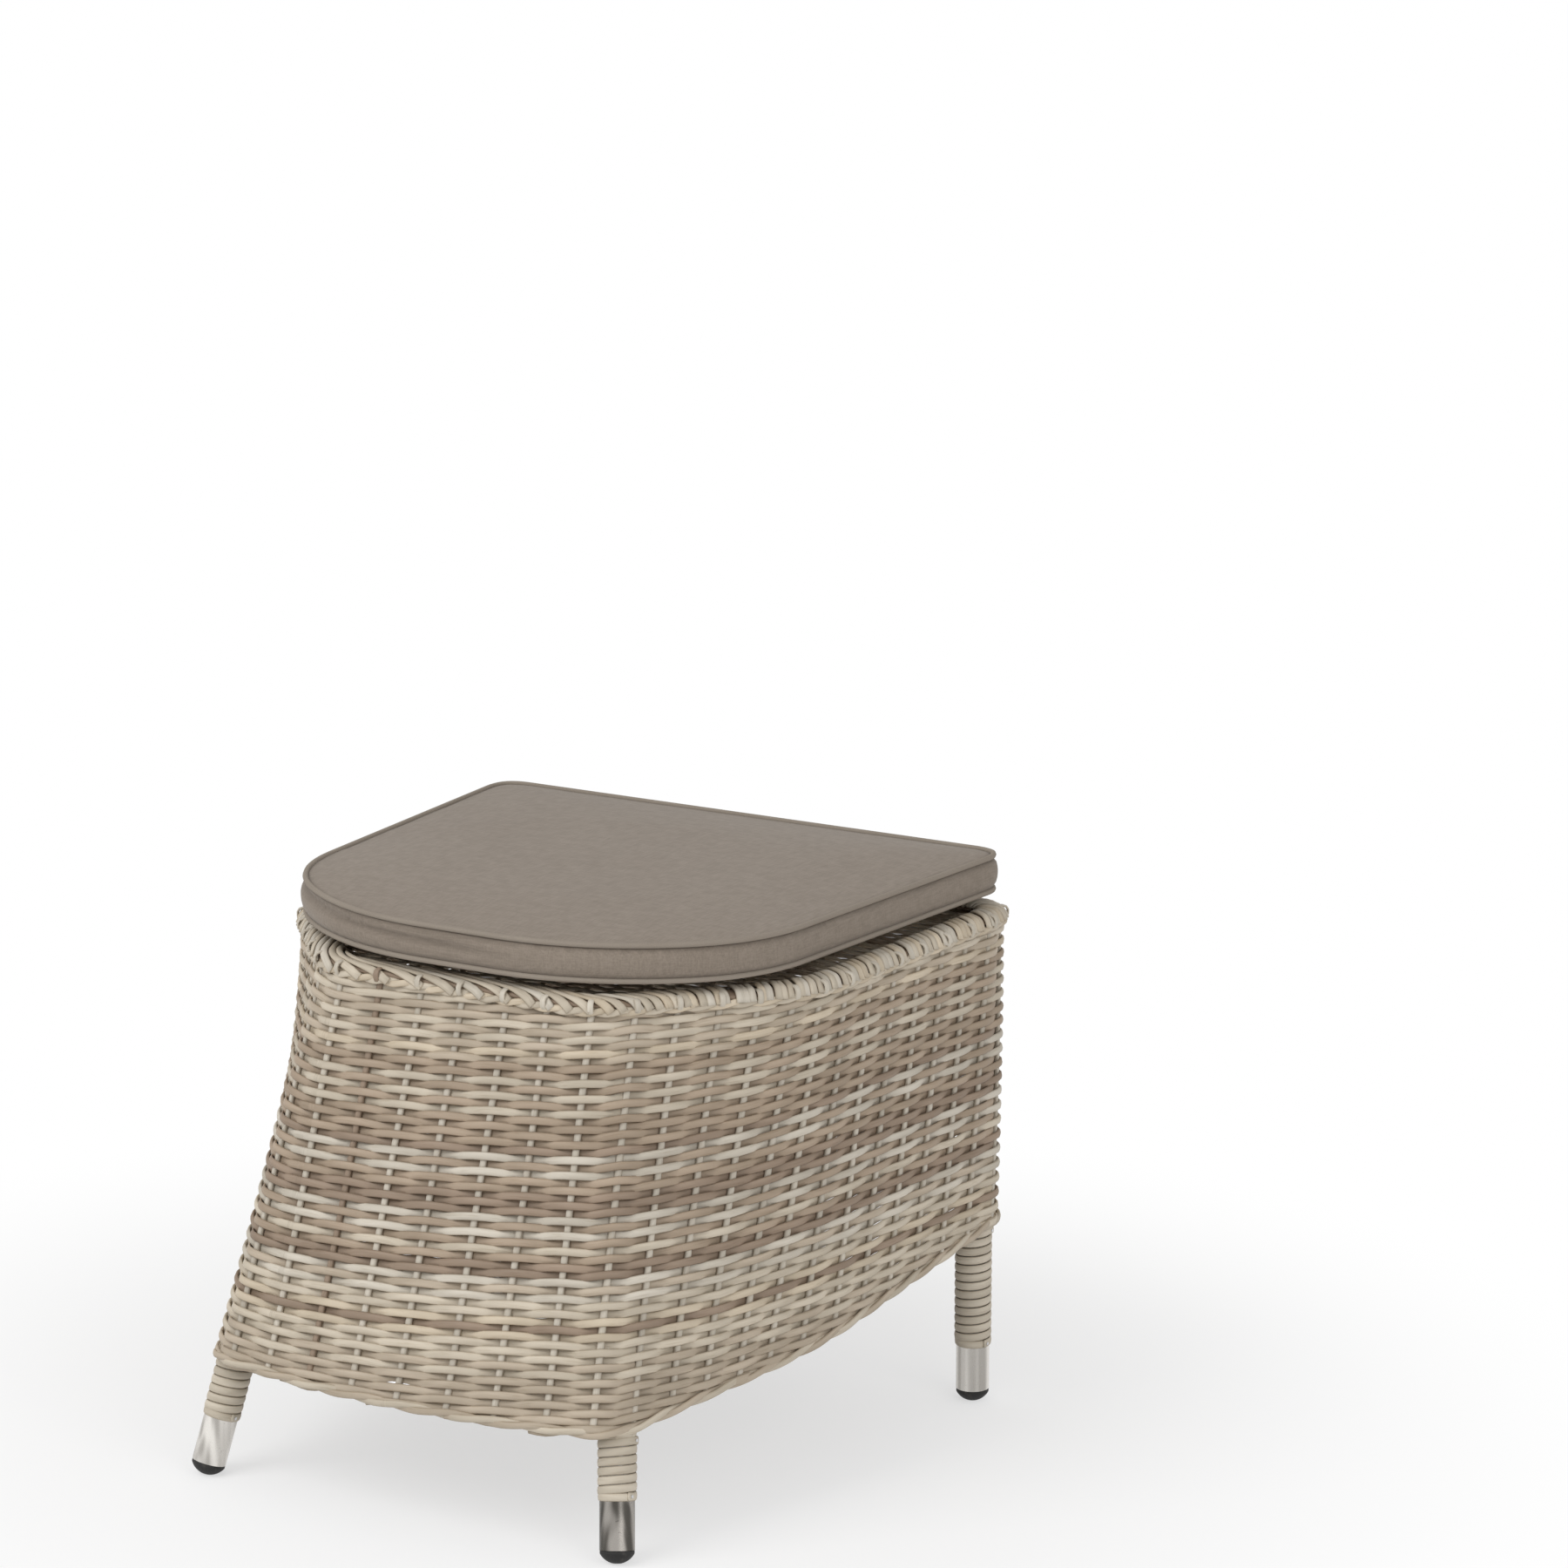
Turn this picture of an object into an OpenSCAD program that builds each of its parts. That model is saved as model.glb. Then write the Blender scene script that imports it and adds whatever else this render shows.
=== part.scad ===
// Rattan garden stool with a loose seat cushion.
// An aluminium tube frame stands on four legs. A woven skirt hangs round it and flares
// forward to the two splayed front legs. A braided rim finishes the top edge, a woven deck
// closes it, and a piped cushion lies on the rim.
// Heights are above the ground. Depths (…_y) are measured from the line where the front
// feet stand, and the finished part is moved so that its middle is over the origin.

/* [Rim] */
// Height of the skirt's top edge, under the braid
rim_z = 402; // [390:1:408]
// Width of the rim at its back corners
rim_back_w = 515; // [500:1:525]
// Width of the rim at its side corners
rim_side_w = 485.6; // [475:0.1:500]
// Width of the straight front of the rim
rim_front_w = 248; // [235:1:260]
// Depth of the rim's back edge
rim_back_y = 506; // [495:1:515]
// Depth of the rim's side corners
rim_side_y = 204.5; // [190:0.5:215]
// Depth of the rim's front edge
rim_front_y = 74.5; // [65:0.5:85]
// Length taken off each side of a rim back corner by its curve
rim_back_cut = 45; // [35:1:50]
// Length taken off each side of a rim side corner by its curve
rim_side_cut = 45; // [30:1:60]
// Length taken off each side of a rim front corner by its curve
rim_front_cut = 35; // [25:1:40]
// Width of the braided border
braid_w = 26; // [22:0.5:30]
// Height of the braided border
braid_h = 9.8; // [8:0.2:12]
// How far the braid stands out past the skirt
braid_out = 2.5; // [1:0.5:5]

/* [Skirt] */
// Height of the hem at the front legs
hem_front_z = 100; // [90:1:115]
// Height of the hem at the rear legs
hem_rear_z = 153; // [140:1:165]
// How far a back corner of the hem lies outside the rim's corner
hem_back_flare = 1; // [0:0.5:5]
// How far a side corner of the hem lies outside the rim's corner
hem_side_flare = 3.7; // [0:0.1:10]
// How far a front corner of the hem lies outside the rim's corner
hem_front_flare = 60.5; // [50:0.5:70]
// How far the hem's back edge lies in front of the rim's
hem_back_in = 6; // [0:0.5:12]
// How far the hem's side corners lie in front of the rim's
hem_side_forward = 4.5; // [0:0.5:12]
// How far the hem's front corners lie in front of the rim's front edge
hem_front_forward = 79; // [65:1:90]
// How far the hem's front curve is drawn forward of its front corners
hem_nose_forward = 32.5; // [24:0.5:40]
// Length taken off each side of a hem side corner by its curve
hem_side_cut = 60; // [40:1:70]
// Length taken off each side of a hem front corner by its curve
hem_front_cut = 22; // [16:1:30]
// Length taken off each side of the hem's nose by its curve
hem_nose_cut = 120; // [90:1:140]
// Thickness of the woven wall
skirt_t = 4.5; // [4:0.1:5]
// Number of upright stakes that the wall is woven round
stake_count = 48; // [44:2:52]
// Width of a stake
stake_w = 5.8; // [4.5:0.1:7]
// How far the wall stands out over a stake, where the strands pass over it
stake_up = 2; // [0.6:0.1:2.4]
// Diameter of the strand that binds the hem
hem_strand_d = 4.4; // [4:0.1:4.8]

/* [Cushion] */
// Height of the cushion's top piping above its underside
cushion_h = 37.6; // [34:0.1:48]
// Distance between the top and the bottom piping
cushion_border = 28; // [24:1:34]
// How far a back corner of the cushion lies inside the rim's corner
cushion_back_in = 15.5; // [10:0.5:28]
// How far a side corner of the cushion lies inside the rim's corner
cushion_side_in = 25.3; // [18:0.1:32]
// How far a front corner of the cushion lies inside the rim's corner
cushion_nose_in = 17; // [9:0.5:29]
// How far the cushion's side corners lie in front of the rim's
cushion_side_forward = 41.5; // [30:0.5:50]
// How far the cushion's front edge lies behind the rim's
cushion_front_in = 1; // [0:0.5:8]
// Length taken off each side of a back corner by its curve
cushion_back_cut = 27.5; // [20:0.5:35]
// Length taken off each side of a side corner by its curve
cushion_side_cut = 63; // [50:1:66]
// Length taken off each side of a front corner by its curve
cushion_nose_cut = 76; // [60:1:76]
// Rise of the crown above the top piping
cushion_crown = 6; // [3:0.5:12]
// How far the border swells past the piping line
cushion_swell = 1.8; // [0.5:0.1:3]
// Diameter of the piping
piping_d = 5; // [4:0.1:6]
// Thickness of the cover fabric
fabric_t = 1.2; // [0.8:0.1:1.6]
// Length of the zip in the back border
zip_l = 320; // [200:1:380]
// Height of the zip tape that shows
zip_h = 7; // [5:0.5:9]
// Thickness of the zip tape
zip_t = 0.9; // [0.6:0.1:1.2]

/* [Legs and feet] */
// Outer diameter of a leg tube
leg_d = 25; // [22:0.5:26]
// Wall of a leg tube
leg_wall = 1.5; // [1.2:0.1:2]
// Distance of a front leg's axis behind the skirt's front face
leg_set_back = 31; // [28:0.5:36]
// Distance of a rear leg's axis in front of the skirt's back face
rear_set_back = 36; // [32:0.5:42]
// Outer diameter of the aluminium end sleeve
sleeve_d = 27; // [26.5:0.1:29]
// Length of the end sleeve along the leg
sleeve_l = 37; // [30:1:42]
// Length of the rubber foot that shows under the sleeve
foot_l = 10; // [8:0.5:13]
// Radius of the foot's dome
foot_dome_r = 15; // [14:0.5:18]
// Depth by which the dome is flattened where it stands
foot_flat = 1; // [0.6:0.1:2]
// Length of the foot's plug inside the tube
foot_plug_l = 18; // [12:1:25]

/* [Leg windings] */
// Width of the flat strand
strand_w = 6.4; // [5.5:0.1:7]
// Thickness of the flat strand
strand_t = 1.9; // [1.5:0.1:2.4]
// Least space between two turns
strand_space = 0.5; // [0.45:0.05:1]
// Diameter of a fixing pin's head
pin_head_d = 2.6; // [2:0.1:3.4]
// Height of a fixing pin's head
pin_head_h = 0.7; // [0.5:0.1:1]
// Diameter of a fixing pin's shank
pin_d = 1.1; // [0.9:0.1:1.4]

/* [Frame and deck] */
// Diameter of the rails under the deck
rail_d = 16; // [14:0.5:18]
// Wall of the rails
rail_wall = 1.5; // [1.2:0.1:2]
// Diameter of the two crossbars between the side rails
crossbar_d = 13; // [10:0.5:13.5]
// Diameter of the solid rods inside the hem
hem_rod_d = 8; // [6:0.5:9]
// Height of the hem rods above the hem
hem_rod_up = 12; // [9:0.5:16]
// Thickness of the woven deck
deck_t = 8.6; // [7:0.1:10]

/* [Hidden] */
// Space left between neighbouring pieces
gap = 0.3;
// Overrun of a cut past the face that it opens
over = 1;
$fn = 64;

// Number of steps in each rounded corner of a mesh outline
corner_steps = 7;
// Number of rings down the woven wall
wall_steps = 2;
// Stakes that the photograph shows, as shares of the way round from the middle of the front
seen_stake_shares = [-0.066, -0.043, -0.020, 0.003, 0.027, 0.049, 0.072, 0.093, 0.113, 0.133,
                     0.151, 0.169, 0.185, 0.204];
// Sections in one turn of a winding
turn_steps = 12;
// Crossbars under the deck, as shares of the way from the rim's front to its back
crossbar_shares = [0.42, 0.7];
// Sections of the strand, as shares of its thickness and width
strand_shares = [[0, -0.36], [0.5, -0.5], [1, -0.26], [1, 0.26], [0.5, 0.5], [0, 0.36]];
// Section of the braid, as shares of its width from the outside and of its height
braid_shares = [[0.10, 1], [0, 0.62], [0, 0.12], [0.08, 0], [0.92, 0], [1, 0.14], [1, 0.66], [0.90, 1]];
// Round section of the piping and the hem strand, as shares of the radius
round_shares = [for (k = [0 : 5]) [cos(30 + 60 * k), sin(30 + 60 * k)]];
// Rings of the cushion's top, as shares of the way in from its edge to its centre line
crown_shares = [0.06, 0.2, 0.42, 0.7];
// Share of the cushion's half width that the last crown ring moves in
crown_reach_share = 0.62;
// Where the middle of the cushion's crown lies, as a share of its depth
crown_middle_share = 0.52;
// Heights of the seams beside a row of piping, as shares of the piping's radius
seam_shares = [0.8, 0.6];
// Where the border leaves the piping, as a share of the seam's depth
border_share = 1.25;
// Share of the foam's height that its rounded edge takes
foam_edge_share = 0.3;
// The foam's crown ring and its top, as shares of the cover's crown
foam_crown_shares = [0.9, 0.75];

aluminium = [0.78, 0.78, 0.79];
rubber = [0.10, 0.10, 0.10];
reed = [0.80, 0.75, 0.68];
reed_shade = [0.70, 0.63, 0.54];
cloth = [0.56, 0.52, 0.48];
piping_colour = [0.50, 0.46, 0.42];
foam_colour = [0.93, 0.90, 0.78];

// Outlines

// The corners of the rim and of the hem, anticlockwise from the middle of the front
function corners(front_y, front, side, back) = [
    [0, front_y], front, side, back,
    [-back.x, back.y], [-side.x, side.y], [-front.x, front.y]
];
rim_front = [rim_front_w / 2, rim_front_y];
rim_side = [rim_side_w / 2, rim_side_y];
rim_back = [rim_back_w / 2, rim_back_y];
hem_front = rim_front + [hem_front_flare, -hem_front_forward];
hem_side = rim_side + [hem_side_flare, -hem_side_forward];
hem_back = rim_back + [hem_back_flare, -hem_back_in];
hem_nose_y = hem_front.y - hem_nose_forward;
rim_corners = corners(rim_front_y, rim_front, rim_side, rim_back);
hem_corners = corners(hem_nose_y, hem_front, hem_side, hem_back);
rim_cuts = [rim_front_cut, rim_front_cut, rim_side_cut, rim_back_cut,
            rim_back_cut, rim_side_cut, rim_front_cut];
hem_cuts = [hem_nose_cut, hem_front_cut, hem_side_cut, rim_back_cut,
            rim_back_cut, hem_side_cut, hem_front_cut];

cushion_side = rim_side - [cushion_side_in, cushion_side_forward];
cushion_nose = rim_front - [cushion_nose_in, -cushion_front_in];
cushion_back = rim_back - [cushion_back_in, 0];
cushion_corners = [
    cushion_nose, cushion_side, cushion_back,
    [-cushion_back.x, cushion_back.y], [-cushion_side.x, cushion_side.y],
    [-cushion_nose.x, cushion_nose.y]
];
cushion_cuts = [cushion_nose_cut, cushion_side_cut, cushion_back_cut,
                cushion_back_cut, cushion_side_cut, cushion_nose_cut];

function unit(v) = v / norm(v);
function mix(a, b, s) = a + (b - a) * s;
function turned(v) = [v.y, -v.x];

// A closed outline through rounded corners, moved outward by off
function rounded(pts, cuts, off = 0) = let (m = len(pts)) [
    for (i = [0 : m - 1])
        let (before = unit(pts[(i + m - 1) % m] - pts[i]),
             after = unit(pts[(i + 1) % m] - pts[i]),
             a = pts[i] + before * cuts[i],
             b = pts[i] + after * cuts[i])
        for (k = [0 : corner_steps])
            let (t = k / corner_steps,
                 p = mix(mix(a, pts[i], t), mix(pts[i], b, t), t),
                 along = unit(mix(-before, after, t)))
            p + turned(along) * off
];

// How far a rounded corner lies inside its sharp corner
function corner_depth(before, corner, after, cut) =
    norm(unit(before - corner) + unit(after - corner)) * cut / 4;

// The point that lies inward from two neighbouring edges by d1 and d2
function inset(before, corner, after, d1, d2) =
    let (u = unit(corner - before), v = unit(after - corner),
         nu = -turned(u), nv = -turned(v),
         turn = u.x * v.y - u.y * v.x)
    corner + (v * d1 - u * d2) / turn * (nu * v > 0 ? 1 : -1) * (turn > 0 ? 1 : -1);

// Places in the frame

wall_gap = skirt_t + gap;
leg_inset = wall_gap + leg_d / 2;
rim_leg = inset([0, rim_front_y], rim_front, rim_side, leg_set_back, leg_inset + skirt_t / 3);
hem_leg = inset([0, hem_nose_y], hem_front, hem_side, leg_set_back, leg_inset);
drop = rim_z - hem_front_z;
leg_slope = (hem_leg - rim_leg) / drop;
front_foot = hem_leg + leg_slope * hem_front_z;
rear_leg_y = min(rim_back.y, hem_back.y) - rear_set_back;

// Where a rear leg stands clear of a side wall drawn between two corners
function rear_leg_x(side, back) =
    let (wall = back - side)
    side.x + (wall.x * (rear_leg_y - side.y) - leg_inset * norm(wall)) / wall.y;
rear_foot = [min(rear_leg_x(rim_side, rim_back), rear_leg_x(hem_side, hem_back)), rear_leg_y];
leg_lean = norm([leg_slope.x, leg_slope.y, 1]);

// The plan position of a front leg's axis at a height
function front_leg_at(z) = front_foot - leg_slope * z;

deck_bottom_z = rim_z - deck_t - gap / 3;
rail_z = deck_bottom_z - gap - rail_d / 2;
leg_top_z = deck_bottom_z - gap;
side_bend = let (d = leg_inset + corner_depth(rim_front, rim_side, rim_back, rim_side_cut))
    inset(rim_front, rim_side, rim_back, d, d);

// The hem's height at a depth
function hem_z(y) =
    mix(hem_front_z, hem_rear_z,
        max(0, min(1, (y - hem_leg.y) / (rear_foot.y - hem_leg.y))));

braid_bottom_z = rim_z + gap;
braid_top_z = braid_bottom_z + braid_h;
cushion_bottom_z = braid_top_z + gap;
cushion_top_z = cushion_bottom_z + cushion_h;
piping_low_z = cushion_top_z - cushion_border;
piping_r = piping_d / 2;
border_mid_z = cushion_top_z - cushion_border / 2;

// The farthest points to the front and the back set the middle
nose_rise = hem_nose_forward * hem_nose_cut / norm(hem_front - [0, hem_nose_y]) / 2;
front_most_y = hem_nose_y + nose_rise;
zip_face_y = cushion_back.y + cushion_swell + gap;
slider_t = zip_t * 2;
back_most_y = max(zip_face_y + zip_t + slider_t, rim_back_y + braid_out);
middle_y = (front_most_y + back_most_y) / 2;

module place() {
    translate([0, -middle_y, 0]) children();
}

// Mesh builders

// Rings that close on themselves both ways: round the outline and round the section
module loop_mesh(rings) {
    m = len(rings);
    n = len(rings[0]);
    polyhedron(
        points = [for (r = rings) each r],
        faces = [
            for (k = [0 : m - 1]) for (i = [0 : n - 1])
                let (k2 = (k + 1) % m, i2 = (i + 1) % n,
                     a = k * n + i, b = k * n + i2, c = k2 * n + i2, d = k2 * n + i)
                each [[a, b, c], [a, c, d]]
        ],
        convexity = 10);
}

// Rings stacked from the top down, with a point in the middle of each end
module stack_mesh(rings, top, bottom) {
    m = len(rings);
    n = len(rings[0]);
    polyhedron(
        points = [for (r = rings) each r, top, bottom],
        faces = [
            for (k = [0 : m - 2]) for (i = [0 : n - 1])
                let (i2 = (i + 1) % n, a = k * n + i, b = k * n + i2)
                each [[a, b, b + n], [a, b + n, a + n]],
            for (i = [0 : n - 1]) [(i + 1) % n, i, m * n],
            for (i = [0 : n - 1]) [(m - 1) * n + i, (m - 1) * n + (i + 1) % n, m * n + 1]
        ],
        convexity = 10);
}

// A tube through a list of equal sections, closed at both ends
module tube_mesh(sections) {
    m = len(sections);
    n = len(sections[0]);
    polyhedron(
        points = [for (s = sections) each s],
        faces = [
            for (k = [0 : m - 2]) for (i = [0 : n - 1])
                let (i2 = (i + 1) % n, a = k * n + i, b = k * n + i2)
                each [[a, b, b + n], [a, b + n, a + n]],
            for (i = [1 : n - 2]) [0, i + 1, i],
            for (i = [1 : n - 2]) [(m - 1) * n, (m - 1) * n + i, (m - 1) * n + i + 1]
        ],
        convexity = 10);
}

// Legs

// Moves children from a ground frame whose +Z is a leg's axis; side is -1 or 1
module on_leg(side, front) {
    foot = front ? front_foot : rear_foot;
    axis = front ? [-side * leg_slope.x, -leg_slope.y, 1] : [0, 0, 1];
    translate([side * foot.x, foot.y, 0])
        if (front) rotate(a = acos(1 / norm(axis)), v = cross([0, 0, 1], axis)) children();
        else children();
}

// A leg's outer shape, without its bore
module leg_rod(side, front, r) {
    on_leg(side, front) cylinder(r = r, h = leg_top_z * leg_lean + leg_d);
}

// Tube of one leg, cut level under the deck
module leg(side, front) {
    color(aluminium) place() difference() {
        on_leg(side, front) translate([0, 0, foot_l])
            cylinder(d = leg_d, h = leg_top_z * leg_lean);
        on_leg(side, front) translate([0, 0, foot_l - over])
            cylinder(d = leg_d - 2 * leg_wall, h = leg_top_z * leg_lean + 2 * over);
        translate([-rim_back_w, -rim_back_y, leg_top_z])
            cube([2 * rim_back_w, 3 * rim_back_y, rim_z]);
    }
}

// Aluminium sleeve round the end of a leg
module sleeve(side, front) {
    color(aluminium) place() on_leg(side, front) translate([0, 0, foot_l])
        difference() {
            cylinder(d = sleeve_d, h = sleeve_l);
            translate([0, 0, -over]) cylinder(d = leg_d + gap, h = sleeve_l + 2 * over);
        }
}

// Domed rubber foot with a plug inside the tube
module foot(side, front) {
    plug_d = leg_d - 2 * leg_wall - gap;
    dome_z = (foot_dome_r - foot_flat) * (front ? leg_lean : 1);
    color(rubber) place() difference() {
        on_leg(side, front) union() {
            intersection() {
                translate([0, 0, dome_z]) sphere(r = foot_dome_r);
                cylinder(d = sleeve_d - 2 * gap, h = foot_l - gap);
            }
            translate([0, 0, foot_l - 2 * gap]) cylinder(d = plug_d, h = foot_plug_l);
        }
        translate([-rim_back_w, -rim_back_y, -rim_z])
            cube([2 * rim_back_w, 3 * rim_back_y, rim_z]);
    }
}

// Windings

winding_r = (leg_d / 2 + gap / 2) / cos(180 / turn_steps);
winding_low = foot_l + sleeve_l + gap;
function winding_high(front) =
    front ? (hem_front_z - hem_strand_d - 2 * gap) * leg_lean - leg_d / 2 * norm(leg_slope)
          : hem_rear_z - hem_strand_d - 2 * gap;
function winding_span(front) = winding_high(front) - winding_low - strand_w;
function winding_turns(front) = floor(winding_span(front) / (strand_w + strand_space));
function winding_pitch(front) = winding_span(front) / winding_turns(front);

// One section of the strand at an angle and a height, slid along its tangent by run
function strand_section(angle, z, run = 0) = [
    for (s = strand_shares)
        let (r = winding_r + s.x * strand_t)
        [r * cos(angle) - run * sin(angle), r * sin(angle) + run * cos(angle), z + s.y * strand_w]
];

// The whole winding: a straight end, the turns and the other straight end
function winding_sections(front) =
    let (steps = winding_turns(front) * turn_steps, pitch = winding_pitch(front),
         z0 = winding_low + strand_w / 2,
         rise = pitch * strand_w / (2 * PI * winding_r))
    [
        strand_section(0, z0, -strand_w),
        for (k = [0 : steps])
            strand_section(360 * k / turn_steps, z0 + pitch * k / turn_steps),
        strand_section(360 * steps / turn_steps, z0 + pitch * steps / turn_steps, strand_w)
    ];

// The least distance between points of one turn and of the next
function least_gap(sections) = min([
    for (k = [0 : len(sections) - 1]) for (j = [k + turn_steps - 3 : k + turn_steps + 3])
        if (j < len(sections))
            for (p = sections[k]) for (q = sections[j]) norm(p - q)
]);

module winding(side, front) {
    color(reed) place() on_leg(side, front) tube_mesh(winding_sections(front));
}

// Fixing pins through the straight ends of each winding
module strand_pins() {
    color(aluminium) place() for (side = [-1, 1]) for (front = [true, false])
        on_leg(side, front)
            for (end = [0, 1])
                let (z = winding_low + strand_w / 2 + end * winding_span(front),
                     run = (end == 0 ? -1 : 1) * strand_w / 2)
                translate([winding_r + strand_t, run, z]) rotate([0, 90, 0]) {
                    translate([0, 0, gap / 3]) cylinder(d = pin_head_d, h = pin_head_h);
                    translate([0, 0, gap - strand_t]) cylinder(d = pin_d, h = strand_t);
                }
}

// Rails and rods

// A straight round bar between two points
module bar(a, b, d) {
    v = b - a;
    translate(a) rotate([0, acos(v.z / norm(v)), atan2(v.y, v.x)]) cylinder(d = d, h = norm(v));
}

// A level bar from a to the corner b, mitred there to meet the bar that goes on to c
module mitred_bar(a, b, c, d) {
    u = unit(a - b);
    away = unit(c - b) - u;
    size = 4 * d;
    difference() {
        bar(a, b - u * d, d);
        translate(b) rotate([0, 0, atan2(away.y, away.x)])
            translate([0, -size / 2, -size / 2]) cube(size);
    }
}

function at_height(p, z) = [p.x, p.y, z];
function flipped(p, side) = [side * p.x, p.y];

// Cuts a bar's ends to the legs that it is welded to
module fitted_to_legs() {
    color(aluminium) place() difference() {
        children();
        for (side = [-1, 1]) {
            leg_rod(side, true, leg_d / 2);
            leg_rod(side, false, leg_d / 2);
        }
    }
}

function rail_end(p, side) = at_height(flipped(p, side), rail_z);

// Side rail from the bend to a rear leg
module side_rail(side) {
    from = rail_end(rear_foot, side);
    to = rail_end(side_bend, side);
    beyond = rail_end(front_leg_at(rail_z), side);
    fitted_to_legs() difference() {
        mitred_bar(from, to, beyond, rail_d);
        mitred_bar(from, to, beyond, rail_d - 2 * rail_wall);
    }
}

// Shoulder rail from the bend to a front leg
module shoulder_rail(side) {
    from = rail_end(front_leg_at(rail_z), side);
    to = rail_end(side_bend, side);
    beyond = rail_end(rear_foot, side);
    fitted_to_legs() difference() {
        mitred_bar(from, to, beyond, rail_d);
        mitred_bar(from, to, beyond, rail_d - 2 * rail_wall);
    }
}

// Straight rail across, between two legs
module cross_rail(p) {
    fitted_to_legs() difference() {
        bar(rail_end(p, -1), rail_end(p, 1), rail_d);
        bar(rail_end(p, -1), rail_end(p, 1), rail_d - 2 * rail_wall);
    }
}

// A crossbar under the deck, cut to sit between the side rails
module crossbar(share) {
    y = mix(rim_front_y, rim_back_y, share);
    lean = (rear_foot.x - side_bend.x) / (rear_foot.y - side_bend.y);
    x = side_bend.x + (y - side_bend.y) * lean;
    color(aluminium) place() difference() {
        bar([-x, y, rail_z], [x, y, rail_z], crossbar_d);
        bar([-x, y, rail_z], [x, y, rail_z], crossbar_d - 2 * rail_wall);
        for (side = [-1, 1]) bar(rail_end(side_bend, side), rail_end(rear_foot, side), rail_d);
    }
}

hem_rod_front_z = hem_front_z + hem_rod_up;
hem_rod_rear_z = hem_rear_z + hem_rod_up;

module hem_rod(a, b) {
    fitted_to_legs() bar(a, b, hem_rod_d);
}

// The bowed rod behind the hem's front, an arc that ends at both legs
module hem_rod_front() {
    leg_y = front_leg_at(hem_rod_front_z).y;
    half = front_leg_at(hem_rod_front_z).x;
    bow = leg_y - front_most_y - wall_gap - hem_rod_d;
    arc_r = (half * half + bow * bow) / (2 * bow);
    end = leg_d / 2 + gap + hem_rod_d * leg_slope.x / 2;
    sweep = 2 * asin(half / arc_r) - 360 * end / (PI * arc_r);
    color(aluminium) place() translate([0, leg_y - bow + arc_r, hem_rod_front_z])
        rotate([0, 0, -90 - sweep / 2])
        rotate_extrude(angle = sweep) translate([arc_r, 0]) circle(d = hem_rod_d);
}

// Weave

rim_outline = rounded(rim_corners, rim_cuts);
hem_outline = rounded(hem_corners, hem_cuts);

// The wall's inner face, kept off by a little so that its flat faces clear what lies inside
wall_t = skirt_t - 2 * gap;
rim_inside = rounded(rim_corners, rim_cuts, -wall_t);
hem_inside = rounded(hem_corners, hem_cuts, -wall_t);

// A point of an outline at an index that may lie between two of its points
function outline_at(outline, index) =
    let (i = floor(index), n = len(outline))
    mix(outline[i % n], outline[(i + 1) % n], index - i);

// The height of the hem's edge at an index on its outline
function edge_z(index) = outline_at([for (p = hem_outline) hem_z(p.y)], index);

// The wall's index on its outline at a share of the way round from the middle of the front,
// where down is 0 at the rim and 1 at the hem's front
function wall_index(way, down) =
    let (n = len(rim_outline),
         line = [for (i = [0 : n]) mix(rim_outline[i % n], hem_outline[i % n], down)],
         reach = [
             for (i = 0, run = 0; i <= n; run = run + (i < n ? norm(line[i + 1] - line[i]) : 0),
                  i = i + 1)
             [run, i]
         ],
         around = reach[n][0],
         front = (reach[floor(corner_steps / 2)][0] + reach[ceil(corner_steps / 2)][0]) / 2,
         place = front + way * around)
    lookup(place < 0 ? place + around : place > around ? place - around : place, reach);

// Every stake's share of the way round, those out of sight evenly spaced
seen_count = len(seen_stake_shares);
hidden_count = stake_count - seen_count;
stake_shares = [
    each seen_stake_shares,
    for (k = [1 : hidden_count + 1])
        mix(seen_stake_shares[seen_count - 1], 1 + seen_stake_shares[0], k / (hidden_count + 1))
];

// The wall's upright lines as [share of the way round, depth]: both sides of each stake, and the
// hollow half way to the next
stake_half_share = stake_w / 2 / (rim_back_w + rim_side_w + 2 * (rim_back_y - rim_front_y));
wall_lines = [
    for (k = [0 : stake_count - 1])
        each [
            [stake_shares[k] - stake_half_share, 0],
            [stake_shares[k] + stake_half_share, 0],
            [(stake_shares[k] + stake_shares[k + 1]) / 2, stake_up]
        ]
];

// A point of the wall on one of its lines, at a share of the way down to the hem
function wall_point(line, inner, share) =
    let (near_z = edge_z(wall_index(line[0], 1)),
         low_z = edge_z(wall_index(line[0], (rim_z - near_z) / drop)) + gap / 2,
         z = mix(rim_z, low_z, share),
         s = (rim_z - z) / drop,
         i = wall_index(line[0], s),
         outer_p = mix(outline_at(rim_outline, i), outline_at(hem_outline, i), s),
         inner_p = mix(outline_at(rim_inside, i), outline_at(hem_inside, i), s))
    at_height(inner ? inner_p : outer_p + unit(inner_p - outer_p) * line[1], z);

module woven_skirt() {
    color(reed) place() loop_mesh([
        for (k = [0 : wall_steps])
            [for (line = wall_lines) wall_point(line, false, k / wall_steps)],
        for (k = [wall_steps : -1 : 0])
            [for (line = wall_lines) wall_point(line, true, k / wall_steps)]
    ]);
}

// Binding strand along the lower edge of the wall
module hem_strand() {
    r = hem_strand_d / 2;
    color(reed_shade) place() loop_mesh([
        for (s = [for (k = [5 : -1 : 0]) round_shares[k]])
            [for (i = [0 : len(hem_outline) - 1])
                let (z = hem_z(hem_outline[i].y),
                     share = (rim_z - z) / drop,
                     outer = mix(rim_outline[i], hem_outline[i], share),
                     inner = mix(rim_inside[i], hem_inside[i], share),
                     inward = unit(inner - outer),
                     p = outer + inward * (r - s.x * r))
                at_height(p, z - gap - r + s.y * r)]
    ]);
}

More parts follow.
